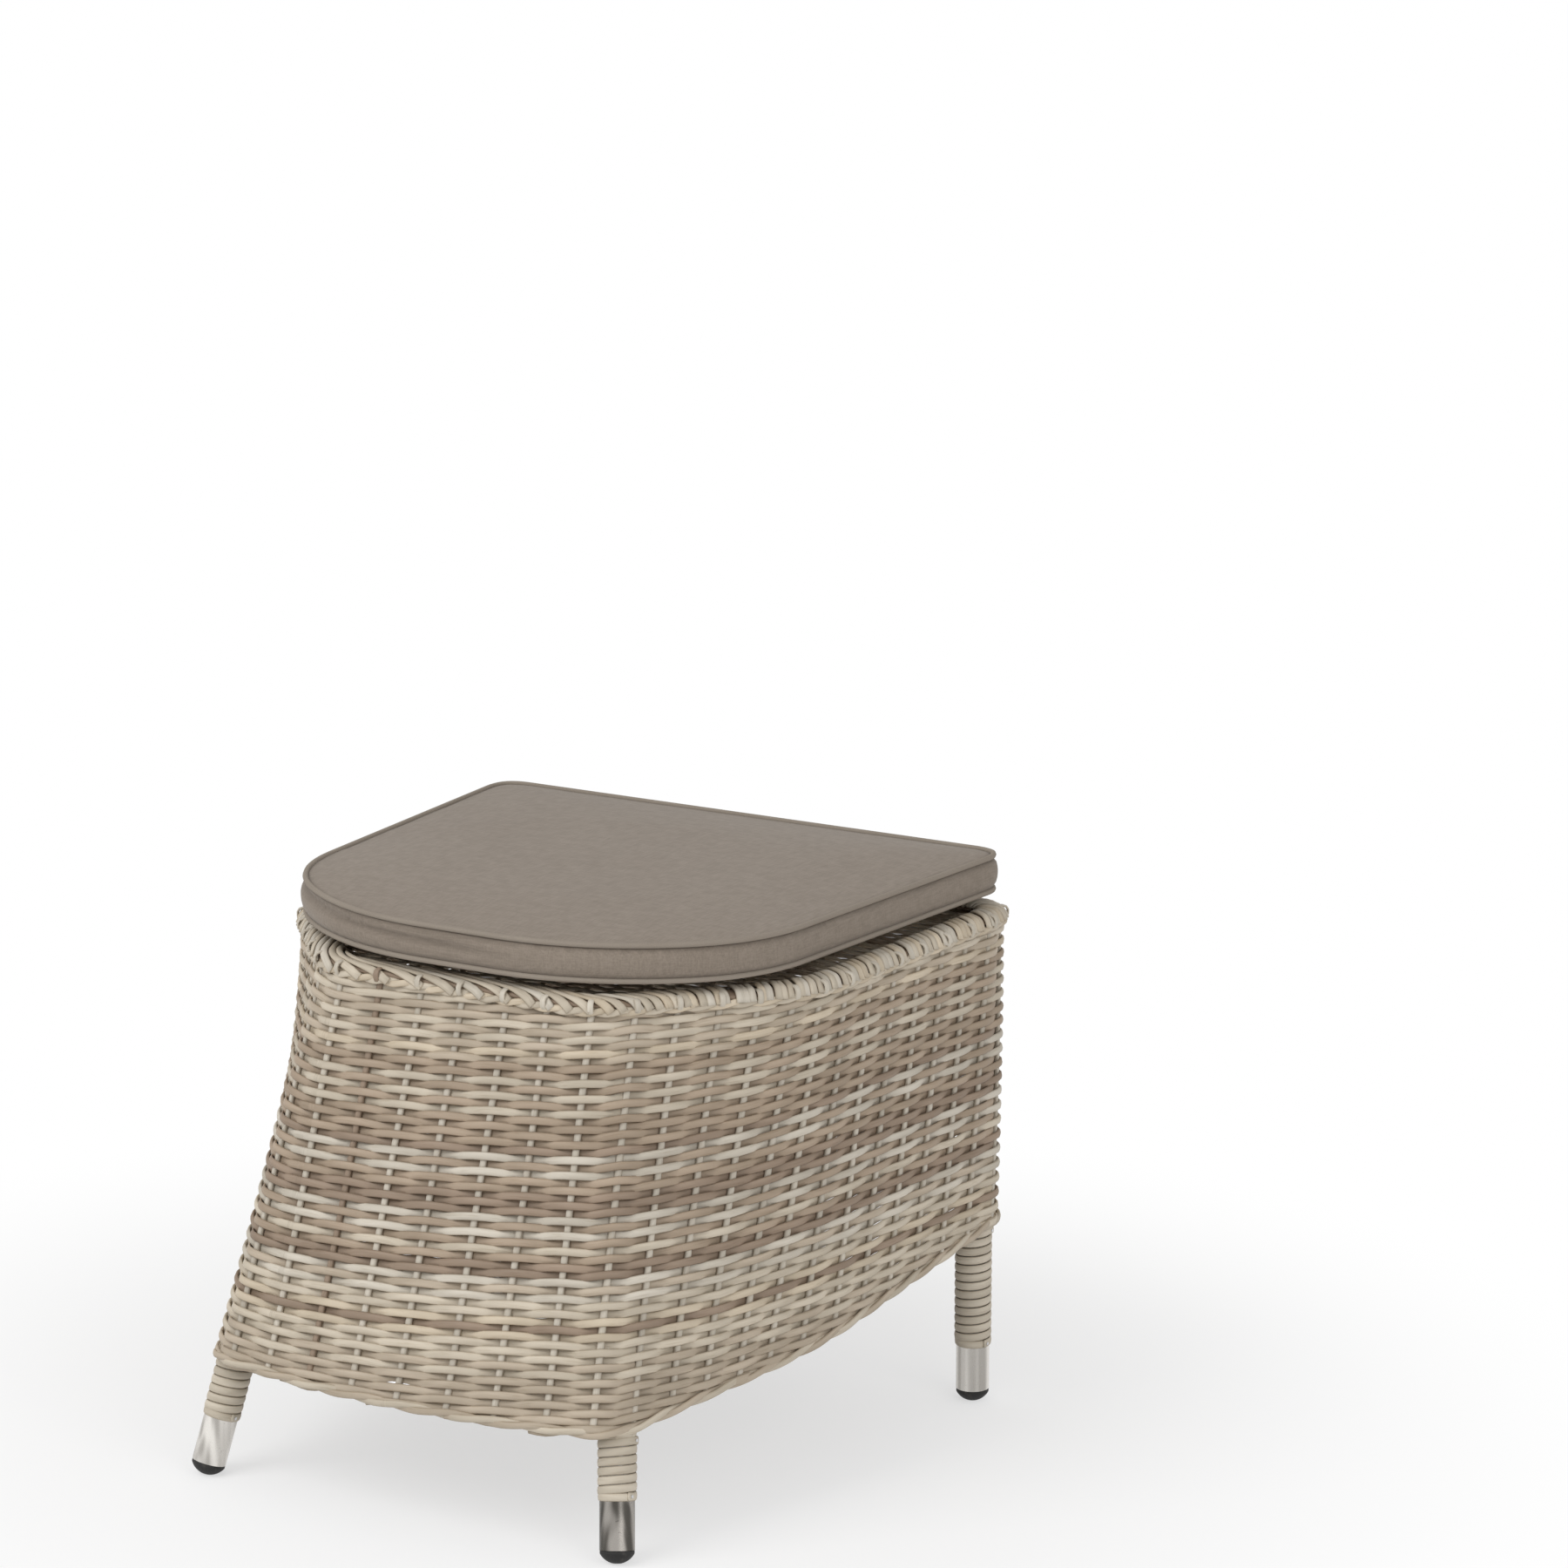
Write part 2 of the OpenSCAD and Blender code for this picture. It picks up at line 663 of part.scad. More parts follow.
// Braided border over the wall, the rails and the deck's edge
module rim_braid() {
    color(reed) place() loop_mesh([
        for (s = braid_shares)
            [for (p = rounded(rim_corners, rim_cuts, braid_out - s.x * braid_w))
                at_height(p, braid_bottom_z + s.y * braid_h)]
    ]);
}

module woven_deck() {
    color(reed_shade) place() translate([0, 0, deck_bottom_z]) linear_extrude(deck_t)
        polygon(rounded(rim_corners, rim_cuts, -wall_gap - gap));
}

// Cushion

function cushion_ring(off, z) =
    [for (p = rounded(cushion_corners, cushion_cuts, off)) at_height(p, z)];

cushion_middle = [0, mix(cushion_nose.y, cushion_back.y, crown_middle_share)];

// A ring drawn in towards the middle by a share, so that its outline stays smooth
function crown_ring(share, z, off) =
    [for (p = rounded(cushion_corners, cushion_cuts, off))
        at_height(mix(p, cushion_middle, share), z)];

seam_in = piping_r + gap;
crown_rise = cushion_crown - piping_r;

// The filled cushion's surface from the top down, drawn in at both rows of piping
function cushion_rings(inside) = [
    for (k = [len(crown_shares) - 1 : -1 : 0])
        let (share = crown_shares[k])
        crown_ring(share * crown_reach_share,
                   cushion_top_z + piping_r + crown_rise * (1 - pow(1 - share, 3)) - inside,
                   -seam_in - inside),
    cushion_ring(-seam_in - inside, cushion_top_z + piping_r * seam_shares[0] - inside),
    cushion_ring(-seam_in - inside, cushion_top_z - piping_r * seam_shares[1]),
    cushion_ring(-inside, cushion_top_z - seam_in * border_share),
    cushion_ring(cushion_swell - inside, border_mid_z),
    cushion_ring(-inside, piping_low_z + seam_in * border_share),
    cushion_ring(-seam_in - inside, piping_low_z + piping_r * seam_shares[1]),
    cushion_ring(-seam_in - inside, piping_low_z - piping_r * seam_shares[0] + inside),
    cushion_ring(-seam_in * 3 - inside, cushion_bottom_z + inside)
];

function foam_rings(inside) =
    let (top_z = cushion_top_z + piping_r * seam_shares[1] - inside, low_z = cushion_bottom_z + inside,
         edge = (top_z - low_z) * foam_edge_share)
    [
        crown_ring(crown_reach_share * crown_shares[3], top_z + crown_rise * foam_crown_shares[0],
                   -seam_in - inside),
        cushion_ring(-seam_in * 3 - inside, top_z),
        cushion_ring(-seam_in - inside, top_z - edge),
        cushion_ring(-seam_in - inside, low_z + edge),
        cushion_ring(-seam_in * 3 - inside, low_z)
    ];

module foam_shape(inside) {
    stack_mesh(foam_rings(inside),
               at_height(cushion_middle, cushion_top_z + cushion_crown * foam_crown_shares[1] - inside),
               at_height(cushion_middle, cushion_bottom_z + inside));
}

// Sewn cover: a crowned top, a swelling border and a flat underside
module cushion_cover() {
    color(cloth) place() difference() {
        stack_mesh(cushion_rings(0),
                   at_height(cushion_middle, cushion_top_z + cushion_crown),
                   at_height(cushion_middle, cushion_bottom_z));
        foam_shape(fabric_t);
    }
}

module cushion_foam() {
    color(foam_colour) place() foam_shape(fabric_t + gap);
}

// A cord of piping along the cushion's edge
module piping(z) {
    color(piping_colour) place() loop_mesh([
        for (s = [for (k = [5 : -1 : 0]) round_shares[k]])
            cushion_ring(s.x * piping_r, z + s.y * piping_r)
    ]);
}

// Zip tape with its slider, sewn along the back border
module cushion_zip() {
    color(piping_colour) place() {
        translate([-zip_l / 2, zip_face_y, border_mid_z - zip_h / 2]) cube([zip_l, zip_t, zip_h]);
        translate([zip_l / 2 - 2 * zip_h, zip_face_y, border_mid_z - zip_h / 4])
            cube([zip_h, zip_t + slider_t, zip_h / 2]);
    }
}

echo(least_gap_front = least_gap(winding_sections(true)), turns = winding_turns(true));
echo(least_gap_rear = least_gap(winding_sections(false)), turns = winding_turns(false));

leg(-1, true);  // leg_front_left
leg(1, true);  // leg_front_right
leg(-1, false);  // leg_rear_left
leg(1, false);  // leg_rear_right
cross_rail(front_leg_at(rail_z));  // rim_rail_front
side_rail(-1);  // rim_rail_left
side_rail(1);  // rim_rail_right
cross_rail(rear_foot);  // rim_rail_rear
shoulder_rail(-1);  // shoulder_rail_left
shoulder_rail(1);  // shoulder_rail_right
crossbar(crossbar_shares[0]);  // crossbar_front
crossbar(crossbar_shares[1]);  // crossbar_rear
hem_rod_front();
hem_rod(at_height(flipped(front_leg_at(hem_rod_front_z), -1), hem_rod_front_z),  // hem_rod_left
            at_height(flipped(rear_foot, -1), hem_rod_rear_z));
hem_rod(at_height(front_leg_at(hem_rod_front_z), hem_rod_front_z),  // hem_rod_right
            at_height(rear_foot, hem_rod_rear_z));
hem_rod(at_height(flipped(rear_foot, -1), hem_rod_rear_z),  // hem_rod_rear
            at_height(rear_foot, hem_rod_rear_z));
sleeve(-1, true);  // sleeve_front_left
sleeve(1, true);  // sleeve_front_right
sleeve(-1, false);  // sleeve_rear_left
sleeve(1, false);  // sleeve_rear_right
foot(-1, true);  // foot_front_left
foot(1, true);  // foot_front_right
foot(-1, false);  // foot_rear_left
foot(1, false);  // foot_rear_right
winding(-1, true);  // winding_front_left
winding(1, true);  // winding_front_right
winding(-1, false);  // winding_rear_left
winding(1, false);  // winding_rear_right
strand_pins();
woven_skirt();
hem_strand();
rim_braid();
woven_deck();
cushion_cover();
cushion_foam();
piping(cushion_top_z);  // piping_top
piping(piping_low_z);  // piping_bottom
cushion_zip();
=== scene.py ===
import math

import bpy
import numpy as np
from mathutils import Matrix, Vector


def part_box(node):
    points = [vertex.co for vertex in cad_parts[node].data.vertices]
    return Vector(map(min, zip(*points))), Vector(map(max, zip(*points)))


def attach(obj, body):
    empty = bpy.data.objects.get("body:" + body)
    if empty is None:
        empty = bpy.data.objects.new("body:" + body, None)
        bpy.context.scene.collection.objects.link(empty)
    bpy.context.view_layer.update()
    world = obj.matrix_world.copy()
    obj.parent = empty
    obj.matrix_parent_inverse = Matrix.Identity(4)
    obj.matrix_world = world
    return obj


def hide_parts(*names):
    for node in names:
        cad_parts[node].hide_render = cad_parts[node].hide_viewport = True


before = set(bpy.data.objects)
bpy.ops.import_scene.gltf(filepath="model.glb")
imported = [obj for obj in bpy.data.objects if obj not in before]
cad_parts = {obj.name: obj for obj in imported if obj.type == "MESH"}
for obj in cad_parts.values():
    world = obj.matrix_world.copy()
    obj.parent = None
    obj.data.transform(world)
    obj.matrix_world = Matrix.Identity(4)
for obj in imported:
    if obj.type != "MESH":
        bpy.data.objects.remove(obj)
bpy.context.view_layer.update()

# The camera looks down on the stool from its front and one side through a long lens. Soft
# light falls from above on a pale floor, and everything behind the stool is white.
camera_lens = bpy.data.cameras.new("camera")
camera_lens.sensor_fit = "HORIZONTAL"
camera_lens.sensor_width = 36
camera_lens.lens = 136
camera_lens.clip_end = 60
camera = bpy.data.objects.new("camera", camera_lens)
camera.location = (2.4626, -3.7859, 1.6027)
camera.rotation_euler = (math.radians(76.6375), 0, math.radians(30.9504))
bpy.context.scene.collection.objects.link(camera)
bpy.context.scene.camera = camera
bpy.context.scene.view_settings.view_transform = "Standard"


class Shade:
    """A socket of a material's nodes. Sums written on it become Math nodes."""

    def __init__(self, tree, socket=None):
        self.tree = tree
        self.socket = socket

    def fill(self, made, sockets):
        """Sets or links the sockets of a node."""
        for name, value in sockets.items():
            if isinstance(value, Shade):
                self.tree.links.new(value.socket, made.inputs[name])
            else:
                made.inputs[name].default_value = value

    def node(self, kind, settings, sockets, out=0):
        """Adds a node: its settings first, then the values or links of its sockets."""
        made = self.tree.nodes.new("ShaderNode" + kind)
        for name, value in settings.items():
            setattr(made, name, value)
        self.fill(made, sockets)
        return Shade(self.tree, made.outputs[out])

    def sum(self, operation, first, second):
        return self.node("Math", {"operation": operation}, {0: first, 1: second})

    def __add__(self, other):
        return self.sum("ADD", self, other)

    def __radd__(self, other):
        return self.sum("ADD", other, self)

    def __mul__(self, other):
        return self.sum("MULTIPLY", self, other)

    def __rmul__(self, other):
        return self.sum("MULTIPLY", other, self)

    def between(self, low, high):
        """0 below low, 1 above high, and a smooth rise between them."""
        return self.node("MapRange", {"interpolation_type": "SMOOTHSTEP"},
                         {0: self, 1: low, 2: high})

    def blend(self, first, second):
        """The colour that lies between two others by this share."""
        return self.node("Mix", {"data_type": "RGBA"}, {0: self, 6: first, 7: second}, out=2)

    def scaled(self, factors):
        """A vector multiplied part by part."""
        return self.node("VectorMath", {"operation": "MULTIPLY"}, {0: self, 1: factors})

    def noise(self, scale, detail=2):
        """Noise from 0 to 1 at the place that this vector gives."""
        return self.node("TexNoise", {}, {"Vector": self, "Scale": scale, "Detail": detail})

    def place(self):
        """Where on its piece the shaded point lies."""
        return self.node("TexCoord", {}, {}, out="Object")

    def raised(self, strength, distance):
        """The normal of a surface that stands up where this value is high."""
        return self.node("Bump", {}, {"Strength": strength, "Distance": distance,
                                      "Height": self})


def finish(name):
    """A new material, its shader, and a Shade to add nodes with."""
    material = bpy.data.materials.new(name)
    material.use_nodes = True
    return material, material.node_tree.nodes["Principled BSDF"], Shade(material.node_tree)


def dye(red, green, blue):
    """The shader's colour for one written in 0 to 255."""
    shares = [part / 255 for part in (red, green, blue)]
    lit = [part / 12.92 if part < 0.04045 else ((part + 0.055) / 1.055) ** 2.4 for part in shares]
    return (*lit, 1)


def white_seen(shade):
    """1 for rays that should meet plain white: the camera's, and those in metal or glass."""
    kinds = ("Is Camera Ray", "Is Glossy Ray", "Is Transmission Ray")
    camera_ray, glossy_ray, through_ray = [shade.node("LightPath", {}, {}, out=k) for k in kinds]
    return shade.sum("MAXIMUM", camera_ray, shade.sum("MAXIMUM", glossy_ray, through_ray))


floor_half = 6
floor_mesh = bpy.data.meshes.new("floor")
floor_mesh.from_pydata(
    [(-floor_half, -floor_half, 0), (floor_half, -floor_half, 0),
     (floor_half, floor_half, 0), (-floor_half, floor_half, 0)], [], [(0, 1, 2, 3)])
floor = bpy.data.objects.new("floor", floor_mesh)
bpy.context.scene.collection.objects.link(floor)
floor_paint, floor_shader, shade = finish("floor_paint")
floor_place = shade.node("NewGeometry", {}, {}, out="Position")
floor_far = shade.node("VectorMath", {"operation": "LENGTH"}, {0: floor_place}, out="Value")
shade.fill(floor_shader, {"Base Color": dye(246, 246, 246), "Roughness": 0.9,
                          "Specular IOR Level": 0.1})
floor_glow = shade.node("Emission", {}, {"Color": (1, 1, 1, 1), "Strength": 1})
floor_white = (0.6 + 0.4 * floor_far.between(0.35, 0.9)) * white_seen(shade)
floor_look = shade.node("MixShader", {}, {
    0: floor_white, 1: Shade(shade.tree, floor_shader.outputs[0]), 2: floor_glow})
shade.fill(shade.tree.nodes["Material Output"], {"Surface": floor_look})
floor_mesh.materials.append(floor_paint)

sky = bpy.data.worlds.new("sky")
bpy.context.scene.world = sky
sky.use_nodes = True
shade = Shade(sky.node_tree)
daylight = white_seen(shade)
shade.fill(sky.node_tree.nodes["Background"], {
    "Color": (1, 1, 1, 1), "Strength": daylight * 0.45 + 0.55})

for name, place, aim, size, power in (
        ("key_light", (-1.3, -2.4, 3.0), (0, 0, 0.2), 2.4, 62),
        ("fill_light", (2.8, -1.2, 1.8), (0, 0, 0.25), 2.0, 22)):
    lamp = bpy.data.lights.new(name, "AREA")
    lamp.size = size
    lamp.energy = power
    light = bpy.data.objects.new(name, lamp)
    light.location = place
    away = np.array(place) - np.array(aim)
    light.rotation_euler = (math.acos(away[2] / np.linalg.norm(away)), 0,
                            math.atan2(away[0], -away[1]))
    bpy.context.scene.collection.objects.link(light)

# The frame is welded of round aluminium tube: four legs, the rails and crossbars under the
# deck, and thin solid rods inside the hem. The metal is drawn tube with a soft satin skin.
frame_metal, metal_shader, shade = finish("satin_aluminium")
metal_place = shade.place()
drawn_lines = metal_place.scaled((900, 900, 14)).noise(1, 3)
metal_cloud = metal_place.noise(60)
shade.fill(metal_shader, {
    "Base Color": metal_cloud.blend(dye(176, 177, 180), dye(202, 203, 206)),
    "Metallic": 1, "Roughness": 0.3 + 0.16 * drawn_lines,
    "Normal": drawn_lines.raised(0.12, 0.0002)})


def coat_node(name, material):
    """Gives a CAD node a finish in place of its plain one."""
    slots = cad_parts[name].material_slots
    if slots:
        slots[0].material = material
    else:
        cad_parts[name].data.materials.append(material)


for name in ("leg_front_left", "leg_front_right", "leg_rear_left", "leg_rear_right",
             "rim_rail_front", "rim_rail_left", "rim_rail_right", "rim_rail_rear",
             "shoulder_rail_left", "shoulder_rail_right", "crossbar_front", "crossbar_rear",
             "hem_rod_front", "hem_rod_left", "hem_rod_right", "hem_rod_rear"):
    coat_node(name, frame_metal)

# A short aluminium sleeve is pressed round the end of each leg. It is brushed along its
# length and has fine dark scuffs. Dark and light bands of painted reflection run up each one,
# and the one at the front right is painted darker than the other three, as a painted reflection.
# The front right sleeve's copy is painted darker as painted reflection; only its scuffs are wear.
for finish_name, scuff_and_painted_dark, painted_bright, sleeves in (
        ("worn_and_painted_dark", dye(84, 81, 76), dye(164, 159, 153), ["front_right"]),
        ("painted_bright", dye(176, 172, 166), dye(234, 230, 224),
         ["front_left", "rear_left", "rear_right"])):
    sleeve_metal, metal_shader, shade = finish(f"brushed_sleeve_{finish_name}")
    metal_place = shade.place()
    brush_lines = metal_place.scaled((1500, 1500, 30)).noise(1, 4)
    # Dark and light bands of painted reflection run along the sleeve.
    painted_reflection_band = metal_place.scaled((110, 110, 1.5)).noise(1, 1).between(0.35, 0.65)
    scuffs = metal_place.scaled((240, 240, 420)).noise(1, 4).between(0.66, 0.78)
    shade.fill(metal_shader, {
        "Base Color": scuffs.blend(painted_reflection_band.blend(scuff_and_painted_dark, painted_bright), scuff_and_painted_dark),
        "Metallic": 1, "Roughness": 0.18 + 0.18 * brush_lines + 0.25 * scuffs,
        "Normal": brush_lines.raised(0.2, 0.0002)})
    for leg_name in sleeves:
        coat_node(f"sleeve_{leg_name}", sleeve_metal)

# A domed black rubber foot is pushed into each leg and stands on its small flat. The rubber
# is matt, with dust caught in its grain close to the floor.
foot_rubber, rubber_shader, shade = finish("foot_rubber")
rubber_place = shade.place()
rubber_grain = rubber_place.noise(1800, 3)
floor_dust = rubber_place.noise(160, 3).between(0.5, 0.8)
shade.fill(rubber_shader, {
    "Base Color": floor_dust.blend(dye(30, 29, 28), dye(62, 59, 55)),
    "Roughness": 0.55 + 0.3 * rubber_grain,
    "Normal": rubber_grain.raised(0.35, 0.0003)})
for name in ("foot_front_left", "foot_front_right", "foot_rear_left", "foot_rear_right"):
    coat_node(name, foot_rubber)

# The deck is woven across the rails under the rim: strands pass over and under ribs that run
# from front to back, and an edge strand holds them. The strands are extruded plastic reed.
reed, reed_shader, shade = finish("plastic_reed")
lay = shade.node("Attribute", {"attribute_name": "lay"}, {}, out="Vector")
strand_dye = shade.node("Attribute", {"attribute_name": "dye"}, {}, out="Color")
side_step = shade.node("SeparateXYZ", {}, {0: lay}, out="Y")
# Each strand is painted darker towards its edges: painted shade where it meets its neighbours.
painted_edge_shade = (side_step * side_step).between(0.35, 1.1)
long_tone = lay.scaled((14, 0.25, 1)).noise(1, 2).between(0.32, 0.7)
streaks = lay.scaled((55, 2.6, 1)).noise(1, 4)
dark_streak = streaks.between(0.52, 0.74)
toned = long_tone.blend(strand_dye.scaled((0.84, 0.82, 0.79)),
                        strand_dye.scaled((1.1, 1.09, 1.08)))
# The reed darkens along its own dark streaks, and at its edges by painted shade where strands
# meet.
worn_and_painted_dark = (dark_streak * 0.45 + painted_edge_shade * 0.6).blend(toned, toned.scaled((0.72, 0.67, 0.6)))
shade.fill(reed_shader, {
    "Base Color": worn_and_painted_dark, "Roughness": 0.5 + 0.18 * streaks, "Specular IOR Level": 0.4,
    "Normal": streaks.raised(0.3, 0.0005)})


def unit(vectors):
    """Vectors brought to length one."""
    return vectors / np.linalg.norm(vectors, axis=-1, keepdims=True)


class Strands:
    """Gathers strands of oval section and makes one piece of them."""

    sides = 8

    def __init__(self, seed):
        self.points = []
        self.faces = []
        self.dyes = []
        self.lays = []
        self.count = 0
        self.chance = np.random.default_rng(seed)

    def add(self, middle, outward, width, depth, colour, closed=False):
        """Sweeps a strand along a path, with its flat face turned outward."""
        middle = np.asarray(middle, float)
        rings = len(middle)
        if closed:
            ahead = unit(np.roll(middle, -1, 0) - np.roll(middle, 1, 0))
        else:
            ahead = unit(np.gradient(middle, axis=0))
        across = unit(np.cross(outward, ahead))
        out = np.cross(ahead, across)
        turn = np.arange(self.sides) * 2 * math.pi / self.sides
        wide = np.sign(np.cos(turn)) * np.abs(np.cos(turn)) ** 0.85
        deep = np.sin(turn)
        width = np.broadcast_to(width, rings)[:, None, None] / 2
        depth = np.broadcast_to(depth, rings)[:, None, None] / 2
        ring = (middle[:, None] + across[:, None] * wide[:, None] * width
                + out[:, None] * deep[:, None] * depth)
        first = self.count + np.arange(rings if closed else rings - 1) * self.sides
        second = self.count + (np.arange(len(first)) + 1) % rings * self.sides
        here = np.arange(self.sides)
        beside = (here + 1) % self.sides
        self.faces.append(np.stack([first[:, None] + here, first[:, None] + beside,
                                    second[:, None] + beside, second[:, None] + here],
                                   -1).reshape(-1, 4))
        if not closed:
            cap = np.array([(0, 1, 2, 3), (0, 3, 4, 7), (4, 5, 6, 7)])
            self.faces.append(self.count + cap[:, ::-1])
            self.faces.append(self.count + (rings - 1) * self.sides + cap)
        steps = np.linalg.norm(np.diff(middle, axis=0), axis=1)
        along = np.concatenate([[0], np.cumsum(steps)])
        lay = np.empty((rings, self.sides, 3))
        lay[..., 0] = along[:, None]
        lay[..., 1] = wide
        lay[..., 2] = self.chance.uniform(0, 90)
        self.lays.append(lay.reshape(-1, 3))
        self.points.append(ring.reshape(-1, 3))
        self.dyes.append(np.broadcast_to(colour, (rings * self.sides, 4)))
        self.count += rings * self.sides

    def make(self, name, body, slot, *nodes):
        """Makes the piece, in the reed finish, in place of the CAD nodes named."""
        mesh = bpy.data.meshes.new(name)
        mesh.from_pydata(np.concatenate(self.points).tolist(), [],
                         np.concatenate(self.faces).tolist())
        mesh.shade_smooth()
        dyes = mesh.attributes.new("dye", "FLOAT_COLOR", "POINT")
        dyes.data.foreach_set("color", np.concatenate(self.dyes).ravel())
        lays = mesh.attributes.new("lay", "FLOAT_VECTOR", "POINT")
        lays.data.foreach_set("vector", np.concatenate(self.lays).ravel())
        mesh.materials.append(reed)
        piece = bpy.data.objects.new(name, mesh)
        bpy.context.scene.collection.objects.link(piece)
        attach(piece, body)
        if nodes:
            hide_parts(*nodes)
        return piece


bend_points = 25
side_points = 41


def outline(corners, cuts, off=0):
    """A closed line through corners rounded by their cuts, starting at the front middle."""
    line = []
    corners = np.array(corners, float)
    ends = []
    for before, corner, after, cut in zip(np.roll(corners, 1, 0), corners,
                                          np.roll(corners, -1, 0), cuts):
        ends.append((corner + unit(before - corner) * cut, corner + unit(after - corner) * cut))
    for k, (start, stop) in enumerate(ends):
        share = np.linspace(0, 1, bend_points)[:, None]
        turning = unit((1 - share) * (corners[k] - start) + share * (stop - corners[k]))
        bend = ((1 - share) ** 2 * start + 2 * share * (1 - share) * corners[k]
                + share ** 2 * stop)
        line.append(bend + np.stack([turning[:, 1], -turning[:, 0]], 1) * off)
        share = np.linspace(0, 1, side_points)[1:-1, None]
        after = ends[(k + 1) % len(ends)][0]
        ahead = unit(after - stop)
        line.append(stop + (after - stop) * share + np.array([ahead[1], -ahead[0]]) * off)
    return np.roll(np.concatenate(line), -(bend_points // 2), axis=0)


def mirrored(nose, *right):
    """A row of corners: the nose, those on one side, and the same ones on the other."""
    return [(0, nose), *right, *[(-x, y) for x, y in reversed(right)]]


def round_line(line):
    """How far along a closed line each of its points lies, with its first point again."""
    loop = np.vstack([line, line[:1]])
    return loop, np.concatenate([[0], np.cumsum(np.linalg.norm(np.diff(loop, axis=0), axis=1))])


rim_corners = mirrored(-0.1676, (0.124, -0.1676), (0.2428, -0.0376), (0.2575, 0.2639))
rim_cuts = (0.035, 0.035, 0.045, 0.045, 0.045, 0.045, 0.035)
cream = dye(200, 190, 173)
pale = dye(204, 197, 184)
straw = dye(205, 192, 171)
greige = dye(186, 173, 155)
tan = dye(170, 153, 134)
brown = dye(152, 134, 117)
deck_z = 0.3976
deck_pitch = 0.0062
deck_wave = 0.0019
rib_space = 0.037
rib_strand = (0.0046, 0.0019)
edge_strand = (0.0052, 0.005)
deck_line = outline(rim_corners, rim_cuts, -0.0085)
deck = Strands(3)
deck_front = deck_line[:, 1].min()
deck_back = deck_line[:, 1].max()
right_half = deck_line[:len(deck_line) // 2]


def deck_reach(y):
    """Half the deck's width at a depth."""
    order = np.argsort(right_half[:, 1])
    return np.interp(y, right_half[order, 1], right_half[order, 0])


up = np.array([0, 0, 1.0])
for row, y in enumerate(np.arange(deck_front + 0.003, deck_back - 0.002, deck_pitch)):
    reach = deck_reach(y)
    x = np.linspace(-reach, reach, max(8, int(2 * reach / rib_space * 5)))
    wave = np.cos(math.pi * (x / rib_space + row))
    middle = np.stack([x, np.full(len(x), y), deck_z + deck_wave * wave], 1)
    colour = (cream, greige, cream, tan, straw)[deck.chance.integers(5)]
    deck.add(middle, up, 0.0052 + 0.0009 * wave, 0.0021, colour)
for rib in range(-6, 7):
    x = rib * rib_space
    beside = np.abs(right_half[:, 0] - abs(x))
    front_y = right_half[np.argmin(beside + (right_half[:, 1] > 0) * 9), 1]
    y = np.arange(front_y + 0.002, deck_back - 0.001, deck_pitch / 2)
    middle = np.stack([np.full(len(y), x), y, np.full(len(y), deck_z)], 1)
    deck.add(middle, up, *rib_strand, greige)
edge_line = outline(rim_corners, rim_cuts, -0.0075)
edge_loop = np.column_stack([edge_line, np.full(len(edge_line), deck_z)])
deck.add(edge_loop, up, *edge_strand, greige, closed=True)
deck.make("deck_weave", "stool", "deck_reed", "woven_deck")

# The skirt is woven of reed, round stakes that hang from the rim: each row passes outside one
# stake and inside the next. The rows lie in bands of cream, tan and brown. They fall to the left
# and rise to the right rear, so that some end under the rim and others at the rising hem.
hem_corners = mirrored(-0.2791, (0.1845, -0.2466), (0.2465, -0.0421), (0.2585, 0.2579))
hem_cuts = (0.120, 0.022, 0.060, 0.045, 0.045, 0.060, 0.022)
rim_z = 0.402
hem_front_z = 0.100
hem_drop = rim_z - hem_front_z
rim_line = outline(rim_corners, rim_cuts)
hem_line = outline(hem_corners, hem_cuts)


def hem_z(y):
    """The hem's height, which rises from the front legs to the rear ones."""
    return np.interp(y, [-0.2167, 0.2219], [hem_front_z, 0.153])


def wall(way, z):
    """Points of the wall's outer face at a height, by the share of the way round it."""
    line, reach = round_line(rim_line + (hem_line - rim_line) * (rim_z - z) / hem_drop)
    place = np.asarray(way) % 1 * reach[-1]
    return np.stack([np.interp(place, reach, line[:, 0]), np.interp(place, reach, line[:, 1]),
                     np.full(np.shape(place), z)], -1)


def wall_frame(way, z):
    """Points of the wall, the way down it and the way out of it, by share and height."""
    point = wall(way, z)
    ahead = unit(wall(way + 0.002, z) - wall(way - 0.002, z))
    down = wall(way, z - 0.01) - wall(way, z + 0.01)
    down = unit(down - ahead * np.sum(down * ahead, -1, keepdims=True))
    return point, down, np.cross(down, ahead)


seen_stakes = [-0.066, -0.043, -0.020, 0.003, 0.027, 0.049, 0.072, 0.093, 0.113, 0.133,
               0.151, 0.169, 0.185, 0.204]
stake_count = 48
stake_ways = np.array([*seen_stakes, *np.linspace(seen_stakes[-1], 1 + seen_stakes[0],
                                                  stake_count - len(seen_stakes) + 2)[1:]])
rows_high = 56
row_pitch = hem_drop / rows_high
first_row = -3
# A letter for each row's dye, from the top one down.
row_dyes = ("gccgg" "cgcgygtt" "ctctcttttb" "wtwttbbbwt" "wtctbbwgwc" "cybycccgcggggggg")
dyes = {"c": cream, "w": pale, "y": straw, "g": greige, "t": tan, "b": brown}
